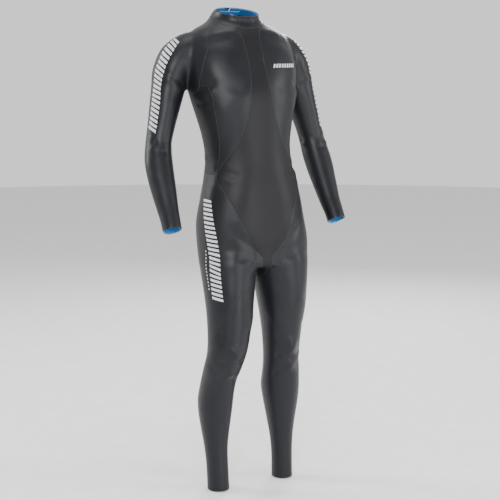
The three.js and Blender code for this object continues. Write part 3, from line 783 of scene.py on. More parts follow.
@functools.lru_cache(maxsize=None)
def cut_skin():
    """The form's skin, cut along every seam, with the name of each face's piece."""
    bm = body_form()
    for field, where in seam_lines():
        cut_along(bm, field, where)
    bmesh.ops.remove_doubles(bm, verts=bm.verts, dist=SHORTEST_EDGE * MM)
    centres = above_hems([f.calc_center_median()[:] for f in bm.faces])
    return bm, piece_names(centres)


@functools.lru_cache(maxsize=None)
def skin_tree():
    return BVHTree.FromBMesh(cut_skin()[0])


# ---------------------------------------------------------------- sizes and colours to change

def linear(hex_colour):
    """A colour given as sRGB hex, as the linear numbers that a shader wants."""
    parts = [int(hex_colour[i:i + 2], 16) / 255 for i in (1, 3, 5)]
    return tuple(c / 12.92 if c <= 0.04045 else ((c + 0.055) / 1.055) ** 2.4 for c in parts)


def length_setting(name, description, millimetres):
    return bpy.props.FloatProperty(
        name=name, description=description, default=millimetres * MM, min=0, precision=5,
        unit="LENGTH", subtype="DISTANCE")


def colour_setting(name, description, hex_colour):
    return bpy.props.FloatVectorProperty(
        name=name, description=description, default=linear(hex_colour), size=3, min=0, max=1,
        subtype="COLOR")


class WetsuitSizes(bpy.types.PropertyGroup):
    """Thicknesses and small sizes of the suit"""
    body: length_setting("Body foam", "Thickness of the foam of the body and the legs", 4)
    sleeve: length_setting("Sleeve foam", "Thickness of the foam of the sleeves", 3)
    collar: length_setting("Collar foam", "Thickness of the foam of the collar", 3.5)
    seam_depth: length_setting("Seam depth", "How far a panel's edges roll in at a seam", 0.7)
    seam_roll: length_setting("Seam roll", "Width over which a panel's edge rolls in", 1.0)
    print_lift: length_setting("Print lift", "Height of the print film above the skin", 0.25)
    tooth_pitch: length_setting("Tooth pitch", "Distance between the zip's teeth", 3.4)


class WetsuitColours(bpy.types.PropertyGroup):
    """Colours of the suit's materials"""
    skin: colour_setting("Skin", "The smooth outer skin", "#101116")
    worn_skin: colour_setting("Dulled skin", "The skin where it is a little worn", "#15161b")
    centre: colour_setting("Centre skin", "The duller skin down the front", "#131316")
    lining: colour_setting("Lining", "The knitted lining", "#0a6fb8")
    edge: colour_setting("Cut edge", "The raw edge of the foam", "#8d939a")
    film: colour_setting("Print", "The print film on the sleeves and the thigh", "#d3d5d8")


# ---------------------------------------------------------------- materials

def add_node(tree, kind, output, inputs=None, **settings):
    """Adds a node with its settings and inputs, each a value or a socket to link, for one output."""
    node = tree.nodes.new(f"ShaderNode{kind}")
    for name, value in settings.items():
        setattr(node, name, value)
    for name, value in (inputs or {}).items():
        if isinstance(value, bpy.types.NodeSocket):
            tree.links.new(value, node.inputs[name])
        else:
            node.inputs[name].default_value = value
    return node.outputs[output]


def new_material(name, **constants):
    """A material, its nodes, its shader with the unlinked sockets set, and the place on the piece."""
    material = bpy.data.materials.new(name)
    material.use_nodes = True
    tree = material.node_tree
    shader = tree.nodes["Principled BSDF"]
    for socket, value in constants.items():
        shader.inputs[socket.replace("_", " ")].default_value = value
    return material, tree, shader, add_node(tree, "TexCoord", "Object")


def finish_shader(tree, shader, **sockets):
    for name, socket in sockets.items():
        tree.links.new(socket, shader.inputs[name.replace("_", " ")])


def smooth_skin_neoprene(name, colour, worn, roughness, gloss):
    """Chloroprene foam with its moulded skin outside: nearly black with a soft satin gloss, faintly
    cloudy where hands and water have dulled it. Its 0.2 mm pores are drawn 1.4 mm so that they show."""
    material, tree, shader, place = new_material(
        name, IOR=1.52, Specular_IOR_Level=gloss, Sheen_Weight=0.02, Sheen_Roughness=0.4)
    cloud = add_node(tree, "TexNoise", "Fac", {"Vector": place, "Scale": 1 / (85 * MM), "Detail": 3.0})
    waves = add_node(tree, "TexNoise", "Fac", {"Vector": place, "Scale": 1 / (16 * MM), "Detail": 1.0})
    pores = add_node(tree, "TexNoise", "Fac", {"Vector": place, "Scale": 1 / (1.4 * MM), "Detail": 3.0})
    dulled = add_node(tree, "MapRange", "Result", {"Value": cloud, "From Min": 0.3, "From Max": 0.7})
    mix = {"Factor": dulled, "A": (*colour, 1), "B": (*worn, 1)}
    rough = {"Value": dulled, "To Min": roughness - 0.035, "To Max": roughness + 0.05}
    broad = add_node(tree, "Bump", "Normal", {"Height": waves, "Distance": 0.25 * MM, "Strength": 0.35})
    fine = {"Height": pores, "Distance": 0.05 * MM, "Strength": 0.5, "Normal": broad}
    finish_shader(
        tree, shader, Base_Color=add_node(tree, "Mix", "Result", mix, data_type="RGBA"),
        Roughness=add_node(tree, "MapRange", "Result", rough), Normal=add_node(tree, "Bump", "Normal", fine))
    return material


def knitted_nylon_lining(name, colour):
    """Nylon jersey glued to the foam: ribs of loops 1.2 mm apart, drawn 2.4 mm, with a soft sheen."""
    material, tree, shader, place = new_material(
        name, Roughness=0.72, IOR=1.5, Sheen_Weight=0.1, Sheen_Roughness=0.45)
    rib = {"Vector": place, "Scale": math.tau / (20 * 2.4 * MM), "Distortion": 1.2, "Detail": 1.0}
    ribs = add_node(tree, "TexWave", "Fac", rib, bands_direction="Z")
    loops = add_node(tree, "TexNoise", "Fac", {"Vector": place, "Scale": 1 / (1.1 * MM)})
    shade = {"Factor": loops, "A": (*[c * 0.62 for c in colour], 1), "B": (*[c * 1.12 for c in colour], 1)}
    broad = add_node(tree, "Bump", "Normal", {"Height": ribs, "Distance": 0.25 * MM, "Strength": 0.5})
    fine = {"Height": loops, "Distance": 0.15 * MM, "Strength": 0.5, "Normal": broad}
    finish_shader(
        tree, shader, Base_Color=add_node(tree, "Mix", "Result", shade, data_type="RGBA"),
        Normal=add_node(tree, "Bump", "Normal", fine))
    return material


def speckled(name, low, high, grain_mm, depth_mm, rough=None, detail=3.0, **constants):
    """A material whose grain shifts its colour, its bump and, where rough is given, its gloss."""
    material, tree, shader, place = new_material(name, **constants)
    grain = add_node(
        tree, "TexNoise", "Fac", {"Vector": place, "Scale": 1 / (grain_mm * MM), "Detail": detail})
    share = add_node(tree, "MapRange", "Result", {"Value": grain, "From Min": 0.3, "From Max": 0.7})
    mix = {"Factor": share, "A": (*low, 1), "B": (*high, 1)}
    relief = {"Height": grain, "Distance": depth_mm * MM, "Strength": 0.6}
    finish_shader(
        tree, shader, Base_Color=add_node(tree, "Mix", "Result", mix, data_type="RGBA"),
        Normal=add_node(tree, "Bump", "Normal", relief))
    if rough is not None:
        inputs = {"Value": share, "To Min": rough[0], "To Max": rough[1]}
        finish_shader(tree, shader, Roughness=add_node(tree, "MapRange", "Result", inputs))
    return material


def woven_polyester_tape(name, colour, light):
    """Woven zip tape: a twill of dull black yarns 0.6 mm apart, drawn 1.2 mm so that they show."""
    material, tree, shader, _ = new_material(name, Roughness=0.8, Sheen_Weight=0.25, IOR=1.5)
    uv = add_node(tree, "TexCoord", "UV")
    yarn = {"Vector": uv, "Scale": math.tau / (20 * 1.2 * MM)}
    warp = add_node(tree, "TexWave", "Fac", yarn, bands_direction="X")
    weft = add_node(tree, "TexWave", "Fac", yarn, bands_direction="DIAGONAL")
    weave = add_node(tree, "Math", "Value", {0: warp, 1: weft}, operation="MULTIPLY")
    mix = {"Factor": weave, "A": (*linear(colour), 1), "B": (*linear(light), 1)}
    relief = {"Height": weave, "Distance": 0.3 * MM, "Strength": 0.8}
    finish_shader(
        tree, shader, Base_Color=add_node(tree, "Mix", "Result", mix, data_type="RGBA"),
        Normal=add_node(tree, "Bump", "Normal", relief))
    return material


@functools.lru_cache(maxsize=None)
def finishes():
    """Every material of the suit, by a short name."""
    look = bpy.context.scene.wetsuit_colours
    skin, worn, centre, film = (tuple(c) for c in (look.skin, look.worn_skin, look.centre, look.film))
    return {
        # satin black with a broad soft highlight
        "skin": smooth_skin_neoprene("smooth_skin_neoprene", skin, worn, 0.41, 0.26),
        # the same foam, dulled, and a little warmer
        "centre": smooth_skin_neoprene(
            "matt_skin_neoprene", centre, tuple(c * 1.25 for c in centre), 0.45, 0.2),
        "side": smooth_skin_neoprene(
            "stretch_side_neoprene", linear("#0e0f12"), linear("#131417"), 0.45, 0.2),
        # the glued and pressed strip along a seam: duller than the skin, and a little paler, which is a
        # painted highlight along the seam's line
        "seam": speckled(
            "pressed_seam_edge_and_painted_highlight", linear("#222328"), linear("#2e2f35"), 3, 0.05, (0.48, 0.58), IOR=1.5,
            Specular_IOR_Level=0.35),
        "lining": knitted_nylon_lining("knitted_nylon_lining", tuple(look.lining)),
        # sliced foam with open cells: pale and quite matt
        "edge": speckled(
            "cut_chloroprene_foam", tuple(c * 0.7 for c in look.edge), tuple(look.edge), 0.9, 0.2,
            Roughness=0.85, IOR=1.45),
        # heat-pressed polyurethane film: even and light, a little glossier than the foam
        "film": speckled(
            "pressed_polyurethane_film", tuple(c * 0.8 for c in film), film, 9, 0.05, (0.42, 0.52),
            IOR=1.5, Coat_Weight=0.1, Coat_Roughness=0.3),
        "tape": woven_polyester_tape("woven_polyester_tape", "#0d0e10", "#202124"),
        # injection-moulded acetal: hard, black, with a clean gloss
        "teeth": speckled(
            "moulded_acetal", linear("#0c0d0f"), linear("#131416"), 1.5, 0.03, (0.26, 0.38), IOR=1.48),
        # die-cast zinc with a dark plating, brighter where its grain is worn
        "metal": speckled(
            "plated_zinc", linear("#43454a"), linear("#64676d"), 2.2, 0.03, (0.28, 0.42), 5.0,
            Metallic=1.0),
        # brushed nylon loops and stiff hooks: very matt, with a light fuzz
        "pad": speckled(
            "brushed_hook_and_loop", linear("#0e0f11"), linear("#26282c"), 0.9, 0.4,
            Roughness=0.95, Sheen_Weight=0.6, IOR=1.5),
    }


# ---------------------------------------------------------------- panels

LEAST_FACING = 0.3      # how far a face may turn away from the skin under it
SEAM_AND_HIGHLIGHT_SLOT = 3           # a seam edge's place among a panel's materials
SEAM_SHOULDER = 0.5     # flat strip beside a rolled edge, which keeps the roll crisp
RELAX_RINGS = 2         # rings of vertices beside an edge that are evened out
RELAX_ROUNDS = 8
UNFOLD_ROUNDS = 6
ELBOW_HEIGHT = 1008

# Piece: finish, thickness, the finish of its rim, and the solids that it stands for.
# In a name, * is a side.
BODY_PANELS = {
    "front_centre": ("centre", "body", "centre", ("front_centre_panel",)),
    "chest_*": ("skin", "body", "skin", ("chest_panel_*",)),
    "side_*": ("side", "body", "side", ("side_panel_*",)),
    "back_*": ("skin", "body", "skin", ("back_panel_*",)),
    "seat": ("centre", "body", "centre", ("seat_panel",)),
    "gusset": ("side", "body", "side", ("crotch_gusset",)),
}
SLEEVES = {
    "sleeve_*": ("skin", "sleeve", "edge", (
        "shoulder_panel_*", "sleeve_upper_*", "sleeve_elbow_*", "sleeve_forearm_*")),
}
LEG_PANELS = {
    "leg_outer_*": ("skin", "body", "skin", ("hip_panel_*", "thigh_outer_panel_*")),
    "leg_inner_*": ("skin", "body", "skin", ("thigh_inner_panel_*", "leg_knee_*", "leg_shin_*")),
}
COLLAR_PIECES = {
    "collar_front": ("centre", "collar", "edge", ("collar_front_insert",)),
    "collar_right": ("skin", "collar", "edge", ("collar_right",)),
    "collar_left": ("skin", "collar", "edge", ("collar_left",)),
}


def joint(name):
    return next(j for j in frame["joints"] if j["name"] == name)


def ride_on_suit(obj, side=None):
    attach(obj, "suit")


def bend_over(obj, joint_name):
    """Bakes a piece's place into its mesh. The joint's pivot is looked up, but the piece is not made to
    bend.
    """
    pivot = Vector(joint(joint_name)["pos_m"])
    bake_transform(obj)


def bend_with_elbow(obj, side):
    along = arm_frame(np.float64(ELBOW_HEIGHT))[1]
    way = (SIDES[side] * along[0], *along[1:])
    bend_over(obj, f"elbow_{side}")


def bend_with_knee(obj, side):
    bend_over(obj, f"knee_{side}")


def cut_size(bm):
    """The width, the length and the area of a piece laid flat, in metres."""
    areas = np.array([f.calc_area() for f in bm.faces])
    places = np.array([f.calc_center_median()[:] for f in bm.faces])
    places -= places.mean(axis=0)
    along = places @ np.linalg.eigh(places.T @ places)[1][:, -1]
    length = along.max() - along.min()
    width = np.histogram(along, bins=12, weights=areas)[0].max() / (length / 12)
    return width, length, areas.sum()


def sleeve_closing(side):
    """Past or before the seam that closes a sleeve under the arm."""
    def past(spots):
        turn = under_arm(side)(spots)
        return np.where(np.abs(turn) < 90, turn, 1) > 0
    return past


def calf_closing(side):
    """Past or before the seam that closes a leg's inner panel down the calf."""
    return lambda spots: (calf_back(side)(spots) > 0) & (spots[:, 2] < CALF_SEAM_TOP)


def relax_near_edge(bm):
    """Evens out the faces near a panel's edge, so that the edge has room to roll."""
    edge = {v for v in bm.verts if v.is_boundary}
    near = set(edge)
    for _ in range(RELAX_RINGS):
        near |= {e.other_vert(v) for v in near for e in v.link_edges}
    inner = [v for v in bm.verts if v in near and v not in edge]
    lifts = [skin_tree().find_nearest(v.co)[3] for v in inner]
    for _ in range(RELAX_ROUNDS):
        smooth(bm, inner)
    for vert, lift in zip(inner, lifts):
        place, normal = skin_tree().find_nearest(vert.co)[:2]
        vert.co = place + normal * lift


def unfold(bm):
    """Smooths out any face that has folded over beside the edge."""
    for _ in range(UNFOLD_ROUNDS):
        bm.normal_update()
        folded = [
            f for f in bm.faces
            if f.normal.dot(skin_tree().find_nearest(f.calc_center_median())[1]) < LEAST_FACING
        ]
        if not folded:
            return
        smooth(bm, list({v for f in folded for v in f.verts if not v.is_boundary}))


def roll_edges(bm, closing=None):
    """Rolls a panel's edges in, so that each seam lies in a shallow groove."""
    if closing is not None:
        beyond = closing(above_hems([f.calc_center_median()[:] for f in bm.faces]))
        bm.faces.index_update()
        split = [
            e for e in bm.edges if len(e.link_faces) == 2
            and beyond[e.link_faces[0].index] != beyond[e.link_faces[1].index]
        ]
        bmesh.ops.split_edges(bm, edges=split)
    relax_near_edge(bm)
    sizes = bpy.context.scene.wetsuit_sizes
    inside = bm.faces[:]
    # the outer strip takes the seam finish, whose paler colour is a painted highlight along the seam
    for width, slot in ((sizes.seam_roll, SEAM_AND_HIGHLIGHT_SLOT), (SEAM_SHOULDER * MM, 0)):
        strip = bmesh.ops.inset_region(
            bm, faces=inside, thickness=width, use_boundary=True, use_even_offset=False)
        for face in strip["faces"]:
            face.material_index = slot
    bm.normal_update()
    for vert in bm.verts:
        if vert.is_boundary:
            vert.co -= vert.normal * sizes.seam_depth
    unfold(bm)


def lined(obj, thickness, finish, rim):
    """Gives a skin its foam: the outer finish, the blue lining inside and the finish of its rim."""
    for name in (finish, "lining", rim, "seam", "lining", rim):
        obj.data.materials.append(finishes()[name])
    with_modifier(
        obj, "SOLIDIFY", thickness=thickness, offset=-1, use_quality_normals=True,
        material_offset=1, material_offset_rim=2)


def add_panel(piece, finish, thickness, rim, side=None):
    """Lifts one piece off the cut skin and gives it its edges, its thickness and its lining."""
    skin, names = cut_skin()
    bm = skin.copy()
    offcut = [f for f, name in zip(bm.faces, names) if name != piece]
    bmesh.ops.delete(bm, geom=offcut, context="FACES")
    width, length, area = cut_size(bm)
    closing = None
    if piece.startswith("sleeve"):
        closing = sleeve_closing(side)
    elif piece.startswith("leg_inner"):
        closing = calf_closing(side)
    roll_edges(bm, closing)
    for face in bm.faces:
        face.smooth = True
    obj = new_object(f"{piece}_neoprene", bm)
    lined(obj, getattr(bpy.context.scene.wetsuit_sizes, thickness), finish, rim)
    return obj


def add_panels(table, hold):
    """Makes each piece of a table, on both sides where its name says so."""
    for piece, (finish, thickness, rim, nodes) in table.items():
        for side in (SIDES if "*" in piece else [None]):
            name = piece.replace("*", side or "")
            obj = add_panel(name, finish, thickness, rim, side)
            hold(obj, side)
            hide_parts(*[node.replace("*", side or "") for node in nodes])


# ---------------------------------------------------------------- prints

# Heights and angles of the places that each row of bars runs through
SLEEVE_PRINT = {
    "right": [(1275, 72), (1200, 66), (1120, 64), (1040, 66)],
    "left": [(1275, 62), (1200, 56), (1120, 54), (1040, 56)],
}
HIP_PRINT_START = [(861, -86)]
THIGH_PRINT = [(700, 59), (640, 58), (574, 57)]
THIGH_DASHES = [(715, 79), (650, 79), (592, 78)]
CHEST_PRINT = [(1241, 15), (1241, 32), (1241, 49)]
# The bars' widths at both ends of a row, then a bar's length, the gap after it and its slant
SLEEVE_BARS = ((36, 32), 8.5, 5, 14)
THIGH_BARS = ((38, 38), 7.5, 5.5, 12)
DASH_BARS = ((3.5, 3.5), 5, 5, 1)
CHEST_BARS = ((11, 11), 6, 4, 5)
FILM_THICKNESS = 0.2


def path_on(spot, points):
    """The places on a surface at some heights and angles."""
    return [spot(np.float64(height), np.float64(degrees)) for height, degrees in points]


def along_path(points, steps=240):
    """A smooth line through a few places, with the distance covered at each step of it."""
    table = smooth_table([(i, *point) for i, point in enumerate(points)])
    share = np.linspace(0, len(points) - 1, steps)
    line = np.stack([np.interp(share, table[:, 0], column) for column in table.T[1:]], -1)
    gone = np.concatenate([[0], np.cumsum(np.linalg.norm(np.diff(line, axis=0), axis=1))])
    return line, gone


def on_line(line, gone, reach):
    """The places that are some distances along a line, going straight on past its ends."""
    place = np.stack([np.interp(reach, gone, axis) for axis in line.T], -1)
    past = np.maximum(reach - gone[-1], 0) + np.minimum(reach, 0)
    ahead = (line[-1] - line[-2]) / np.linalg.norm(line[-1] - line[-2])
    return place + np.multiply.outer(past, ahead)


def on_skin(spot, lift):
    """The nearest place on the suit's skin, lifted off it in metres, and the way out of it there."""
    place, normal = skin_tree().find_nearest(Vector(in_place(spot)))[:2]
    return place + normal * lift, normal


def add_bar(bm, line, gone, start, length, width, slant):
    """One slanted bar of print, laid on the skin across a line."""
    lift = bpy.context.scene.wetsuit_sizes.print_lift
    verts = bmesh.ops.create_grid(bm, x_segments=12, y_segments=3, size=0.5)["verts"]
    middle = start + length / 2
    centre = on_line(line, gone, middle)
    along = Vector(on_line(line, gone, middle + 3) - centre).normalized()
    across = np.array(on_skin(centre, 0)[1].cross(along).normalized())
    for vert in verts:
        reach = middle + vert.co.y * length + vert.co.x * slant
        vert.co = on_skin(on_line(line, gone, reach) + across * vert.co.x * width, lift)[0]


def add_print(name, path, widths, bar, gap, slant):
    """A row of slanted bars of print film, narrowing along a path on the skin."""
    line, gone = along_path(path)
    bm = bmesh.new()
    count = int((gone[-1] + gap) // (bar + gap))
    for i in range(count):
        width = widths[0] + (widths[1] - widths[0]) * i / max(count - 1, 1)
        add_bar(bm, line, gone, i * (bar + gap), bar, width, slant)
    bmesh.ops.recalc_face_normals(bm, faces=bm.faces)
    obj = new_object(name, bm)
    obj.data.shade_smooth()
    obj.data.materials.append(finishes()["film"])
    with_modifier(obj, "SOLIDIFY", thickness=FILM_THICKNESS * MM, offset=0)
    return obj


# ---------------------------------------------------------------- the zip

CHAIN_HALF = 4.2
CHAIN_TOP = 0.6
CHAIN_THICKNESS = 3
TAPE_INNER, TAPE_OUTER = CHAIN_HALF + 0.3, 12.0
TAPE_THICKNESS = 1.2
TAPE_SINK = 0.4
TOOTH = (5.3, 2.7, 1.35)        # across, through and along the chain
TOOTH_OVERLAP = 1.15            # how far a tooth reaches past the chain's middle
CORD_RADIUS = 1.1
# Its half width above and below, and its upper and lower end
SLIDER_OUTLINE = (7, 5.2, -6, -27)
SLIDER_ROUNDING = (2.2, 0.45)   # of its corners and of its edges
SLIDER_GAP = 0.35
SLIDER_PLATE = 1.6
BAIL_MIDDLE = -15
BAIL_RADIUS = 4.2
BAIL_SINK = 0.3                 # how deep its feet stand in the slider
BAIL_SECTION = (1.3, 0.8)       # half width and half thickness
PULL_COLUMNS = (-4.6, -2.1, 2.1, 4.6)       # its edges and the sides of the window for the bail
PULL_ROWS = (-46, -8.5, -0.8, 0.8)
PULL_THICKNESS = 1.6
GRIP_LEVELS = (-24, -42, -2.6)              # the first ridge, the end and the step
GRIP_RIDGE = (2.8, 0.35, 0.6)
STOP_LOW, STOP_HIGH = -2.6, 0.8
STOP_ROUNDING = (0.9, 0.3)


def zip_matrix():
    """The zip's own directions, across it, out of the back and up, from the top of its chain."""
    up = -Vector(joint("zip_slide")["axis"]).normalized()
    across = Vector(joint("pull_tab_swing")["axis"])
    across = (across - up * across.dot(up)).normalized()
    turn = Matrix((across, up.cross(across), up)).transposed().to_4x4()
    return Matrix.Translation(Vector(in_place(ZIP_TOP))) @ turn


def zip_length():
    return float(np.linalg.norm(np.subtract(ZIP_TOP, ZIP_BOTTOM)))


def put_in_place(name, bm, finish, body, node, matrix, crease=40):
    """Puts a hard piece, made in millimetres, in its place and lets it ride."""
    bmesh.ops.scale(bm, vec=(MM, MM, MM), verts=bm.verts)
    bmesh.ops.transform(bm, matrix=matrix, verts=bm.verts)
    bmesh.ops.recalc_face_normals(bm, faces=bm.faces)
    for face in bm.faces:
        face.smooth = True
    for edge in bm.edges:
        edge.smooth = len(edge.link_faces) != 2 or edge.calc_face_angle() < math.radians(crease)
    obj = new_object(name, bm)
    obj.data.materials.append(finishes()[finish])
    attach(obj, body)
    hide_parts(node)
    return obj


def soften(bm, edges, offset, segments=2):
    bmesh.ops.bevel(
        bm, geom=edges, offset=offset, segments=segments, profile=0.5, affect="EDGES", material=-1)


def raise_plate(bm, faces, height, corner, edge):
    """Gives flat faces a thickness out of the back, round corners and softened edges."""
    flat = bmesh.ops.extrude_face_region(bm, geom=faces, use_keep_orig=True)["geom"]
    verts = [g for g in flat if isinstance(g, bmesh.types.BMVert)]
    bmesh.ops.translate(bm, verts=verts, vec=(0, height, 0))
    bmesh.ops.recalc_face_normals(bm, faces=bm.faces)
    upright = [e for e in bm.edges if abs((e.verts[0].co - e.verts[1].co).y) > height / 2
               and e.calc_face_angle(0) > math.radians(30)]
    soften(bm, upright, corner, 5)
    sharp = [e for e in bm.edges if abs((e.verts[0].co - e.verts[1].co).y) < 1e-4
             and e.calc_face_angle(0) > math.radians(60)]
    soften(bm, sharp, edge)


def new_plate(half_top, half_bottom, top, bottom, low, high, corner, edge):
    """A tapering plate with round corners, between two levels out of the back."""
    bm = bmesh.new()
    corners = [(half_top, top), (-half_top, top), (-half_bottom, bottom), (half_bottom, bottom)]
    face = bm.faces.new([bm.verts.new((x, low, z)) for x, z in corners])
    raise_plate(bm, [face], high - low, corner, edge)
    return bm


def add_tape(side):
    length = zip_length()
    bm = bmesh.new()
    verts = bmesh.ops.create_grid(bm, x_segments=6, y_segments=100, size=0.5)["verts"]
    for vert in verts:
        x = TAPE_INNER + (vert.co.x + 0.5) * (TAPE_OUTER - TAPE_INNER)
        vert.co = (SIDES[side] * x, -TAPE_SINK, -(vert.co.y + 0.5) * length)
    uv = bm.loops.layers.uv.new("weave")
    for face in bm.faces:
        for loop in face.loops:
            loop[uv].uv = (loop.vert.co.x * MM, loop.vert.co.z * MM)
    obj = put_in_place(
        f"woven_zip_tape_{side}", bm, "tape", "suit", f"zip_tape_{side}", zip_matrix())
    outward = obj.data.polygons[0].normal.dot(zip_matrix().to_3x3().col[1])
    with_modifier(obj, "SOLIDIFY", thickness=TAPE_THICKNESS * MM, offset=-math.copysign(1, outward))


def add_teeth(side):
    """One side's teeth, on the cord that holds them."""
    across, through, tall = TOOTH
    sign = SIDES[side]
    pitch = bpy.context.scene.wetsuit_sizes.tooth_pitch / MM
    bm = bmesh.new()
    first = -5 - (pitch / 2 if sign < 0 else 0)
    for level in np.arange(first, 4 - zip_length(), -pitch):
        middle = (sign * (across / 2 - TOOTH_OVERLAP), CHAIN_TOP - through / 2 - 0.1, level)
        size = Matrix.Diagonal((across, through, tall, 1))
        bmesh.ops.create_cube(bm, size=1, matrix=Matrix.Translation(middle) @ size)
    soften(bm, bm.edges[:], 0.32, 1)
    cord = Matrix.Translation((sign * (CHAIN_HALF - 0.5), CHAIN_TOP - 1.5, -zip_length() / 2))
    bmesh.ops.create_cone(
        bm, segments=10, radius1=CORD_RADIUS, radius2=CORD_RADIUS, depth=zip_length() - 6,
        cap_ends=True, matrix=cord)
    put_in_place(
        f"moulded_zip_teeth_{side}", bm, "teeth", "suit", f"zip_teeth_{side}",
        zip_matrix(), 25)


def add_stops():
    """Blocks moulded over both ends of the chain: half width, middle and height of each."""
    stops = {"zip_top_stop": (4, -2, 3), "zip_bottom_stop": (5, -zip_length() - 4.5, 8)}
    for name, (half, level, tall) in stops.items():
        bm = new_plate(
            half, half, level + tall / 2, level - tall / 2, STOP_LOW, STOP_HIGH, *STOP_ROUNDING)
        put_in_place(f"moulded_{name}", bm, "teeth", "suit", name, zip_matrix())


def add_slider():
    """A plate above the chain with the bail on it, and a plate below."""
    above = CHAIN_TOP + SLIDER_GAP
    below = CHAIN_TOP - CHAIN_THICKNESS - SLIDER_GAP
    roof = above + SLIDER_PLATE
    bm = new_plate(*SLIDER_OUTLINE, above, roof, *SLIDER_ROUNDING)
    ring = bmesh.ops.create_circle(bm, segments=12, radius=1)["verts"]
    foot = Matrix.Translation((0, roof - BAIL_SINK, BAIL_MIDDLE + BAIL_RADIUS))
    stand = foot @ Matrix.Rotation(-math.pi / 2, 4, "X") @ Matrix.Diagonal((*BAIL_SECTION, 1, 1))
    bmesh.ops.transform(bm, matrix=stand, verts=ring)
    bmesh.ops.spin(
        bm, geom=[e for e in bm.edges if e.verts[0] in ring and e.verts[1] in ring],
        cent=(0, roof - BAIL_SINK, BAIL_MIDDLE), axis=(1, 0, 0), dvec=(0, 0, 0), angle=-math.pi, steps=14,
        use_merge=False)
    bmesh.ops.holes_fill(bm, edges=[e for e in bm.edges if e.is_boundary])
    put_in_place(
        "cast_zip_slider", bm, "metal", "zip_slider", "zip_slider_body", zip_matrix())
    bm = new_plate(*SLIDER_OUTLINE, below - SLIDER_PLATE, below, *SLIDER_ROUNDING)
    put_in_place(
        "cast_zip_back_plate", bm, "metal", "zip_slider", "zip_slider_back_plate",
        zip_matrix())


def add_pull():
    """The pull tab hangs plumb from the bail, with a window for it and grip ridges below."""
    swing = joint("pull_tab_swing")
    across = Vector(swing["axis"]).normalized()
    up = (Vector((0, 0, 1)) - across * across.z).normalized()
    turn = Matrix((across, up.cross(across), up)).transposed().to_4x4()
    bm = bmesh.new()
    grid = bmesh.ops.create_grid(bm, x_segments=3, y_segments=3, size=1.5)["verts"]
    for vert in grid:
        x, z = PULL_COLUMNS[round(vert.co.x + 1.5)], PULL_ROWS[round(vert.co.y + 1.5)]
        vert.co = (x, -PULL_THICKNESS / 2, z)
    window = [f for f in bm.faces if abs(f.calc_center_median().x) < 1
              and PULL_ROWS[1] < f.calc_center_median().z < PULL_ROWS[2]]
    bmesh.ops.delete(bm, geom=window, context="FACES_ONLY")
    raise_plate(bm, bm.faces[:], PULL_THICKNESS, 0.75, 0.35)
    for level in np.arange(*GRIP_LEVELS):
        for face in (-1, 1):
            middle = Matrix.Translation((0, face * (PULL_THICKNESS / 2 - 0.05), level))
            size = Matrix.Diagonal((*GRIP_RIDGE, 1))
            bmesh.ops.create_icosphere(bm, subdivisions=2, radius=1, matrix=middle @ size)
    place = Matrix.Translation(Vector(swing["pos_m"])) @ turn
    put_in_place("cast_zip_pull", bm, "metal", "zip_pull", "zip_pull_tab", place)


FLAP_LOW, FLAP_HIGH = 950, 1405
FLAP_HALF = 38
FLAP_INSET = 8.2
FLAP_THICKNESS = 1.8
BEHIND_Y = 300          # further back than any of the skin


def flap_spot(u, v):
    """A place on the backing flap, inside the back: straight in through the skin from behind."""
    level = FLAP_LOW + v * (FLAP_HIGH - FLAP_LOW)
    middle = read_table(TORSO, level)[0]
    behind = in_place(columns(middle + (u - 0.5) * 2 * FLAP_HALF, float(BEHIND_Y), level))
    hits = [skin_tree().ray_cast(Vector(spot), Vector((0, -1, 0)))[:2] for spot in behind]
    return above_hems([place - normal * FLAP_INSET * MM for place, normal in hits])


def new_laid_sheet(across, along, spot):
    """A sheet laid on a surface of the back, with its faces outwards."""
    bm = bmesh.new()
    add_grid(bm, across, along, spot)
    bm.normal_update()
    if sum(f.normal.y for f in bm.faces) < 0:
        bmesh.ops.reverse_faces(bm, faces=bm.faces)
    for face in bm.faces:
        face.smooth = True
    return bm


def add_flap():
    bm = new_laid_sheet(20, 60, flap_spot)
    width, length, area = cut_size(bm)
    obj = new_object("zip_backing_flap_neoprene", bm)
    lined(obj, FLAP_THICKNESS * MM, "side", "edge")
    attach(obj, "suit")
    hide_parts("zip_backing_flap")


# ---------------------------------------------------------------- the collar's fastening

TAB_START, TAB_END = 171.3, 217
TAB_LOW, TAB_HIGH = 6, 29
TAB_LIFT = 4.8
TAB_THICKNESS = 2.4
TAB_ROUND_START = 0.76      # share of its length where its end begins to narrow
TAB_ROUND_LENGTH = 0.245
PAD_START, PAD_END = 190, 214
PAD_LOW, PAD_HIGH = 8, 26
PAD_THICKNESS = 0.6
# Pad: its lift off the skin and the body that it rides on
PAD_PLACES = {"collar_loop_pad": (1.0, "suit"), "collar_hook_pad": (1.9, "collar_tab")}


def on_collar(height, degrees, lift):
    """Places on the collar, lifted off its skin by millimetres."""
    spots = collar_spot(height, degrees, lift)
    return above_hems([on_skin(spot, lift * MM)[0][:] for spot in spots])


def tab_level(u, v):
    """The tab's height at a share of its length and width: it ends in a round."""
    past = np.clip((u - TAB_ROUND_START) / TAB_ROUND_LENGTH, 0, 1)
    narrowing = np.sqrt(np.clip(1 - past ** 2.4, 0.02, 1))
    return (TAB_LOW + TAB_HIGH) / 2 + (v - 0.5) * (TAB_HIGH - TAB_LOW) * narrowing


def tab_spot(u, v):
    return on_collar(tab_level(u, v), TAB_START + (TAB_END - TAB_START) * u, TAB_LIFT)


def add_tab():
    """The tab starts on the collar's left half and closes round the back, over the right half."""
    bm = new_laid_sheet(24, 10, tab_spot)
    width, length, area = cut_size(bm)
    roll_edges(bm)
    obj = new_object("collar_tab_neoprene", bm)
    lined(obj, TAB_THICKNESS * MM, "skin", "skin")
    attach(obj, "collar_tab")
    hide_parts("collar_tab")


def pad_spot(lift, u, v):
    level = PAD_LOW + (PAD_HIGH - PAD_LOW) * v
    return on_collar(level, PAD_START + (PAD_END - PAD_START) * u, lift)


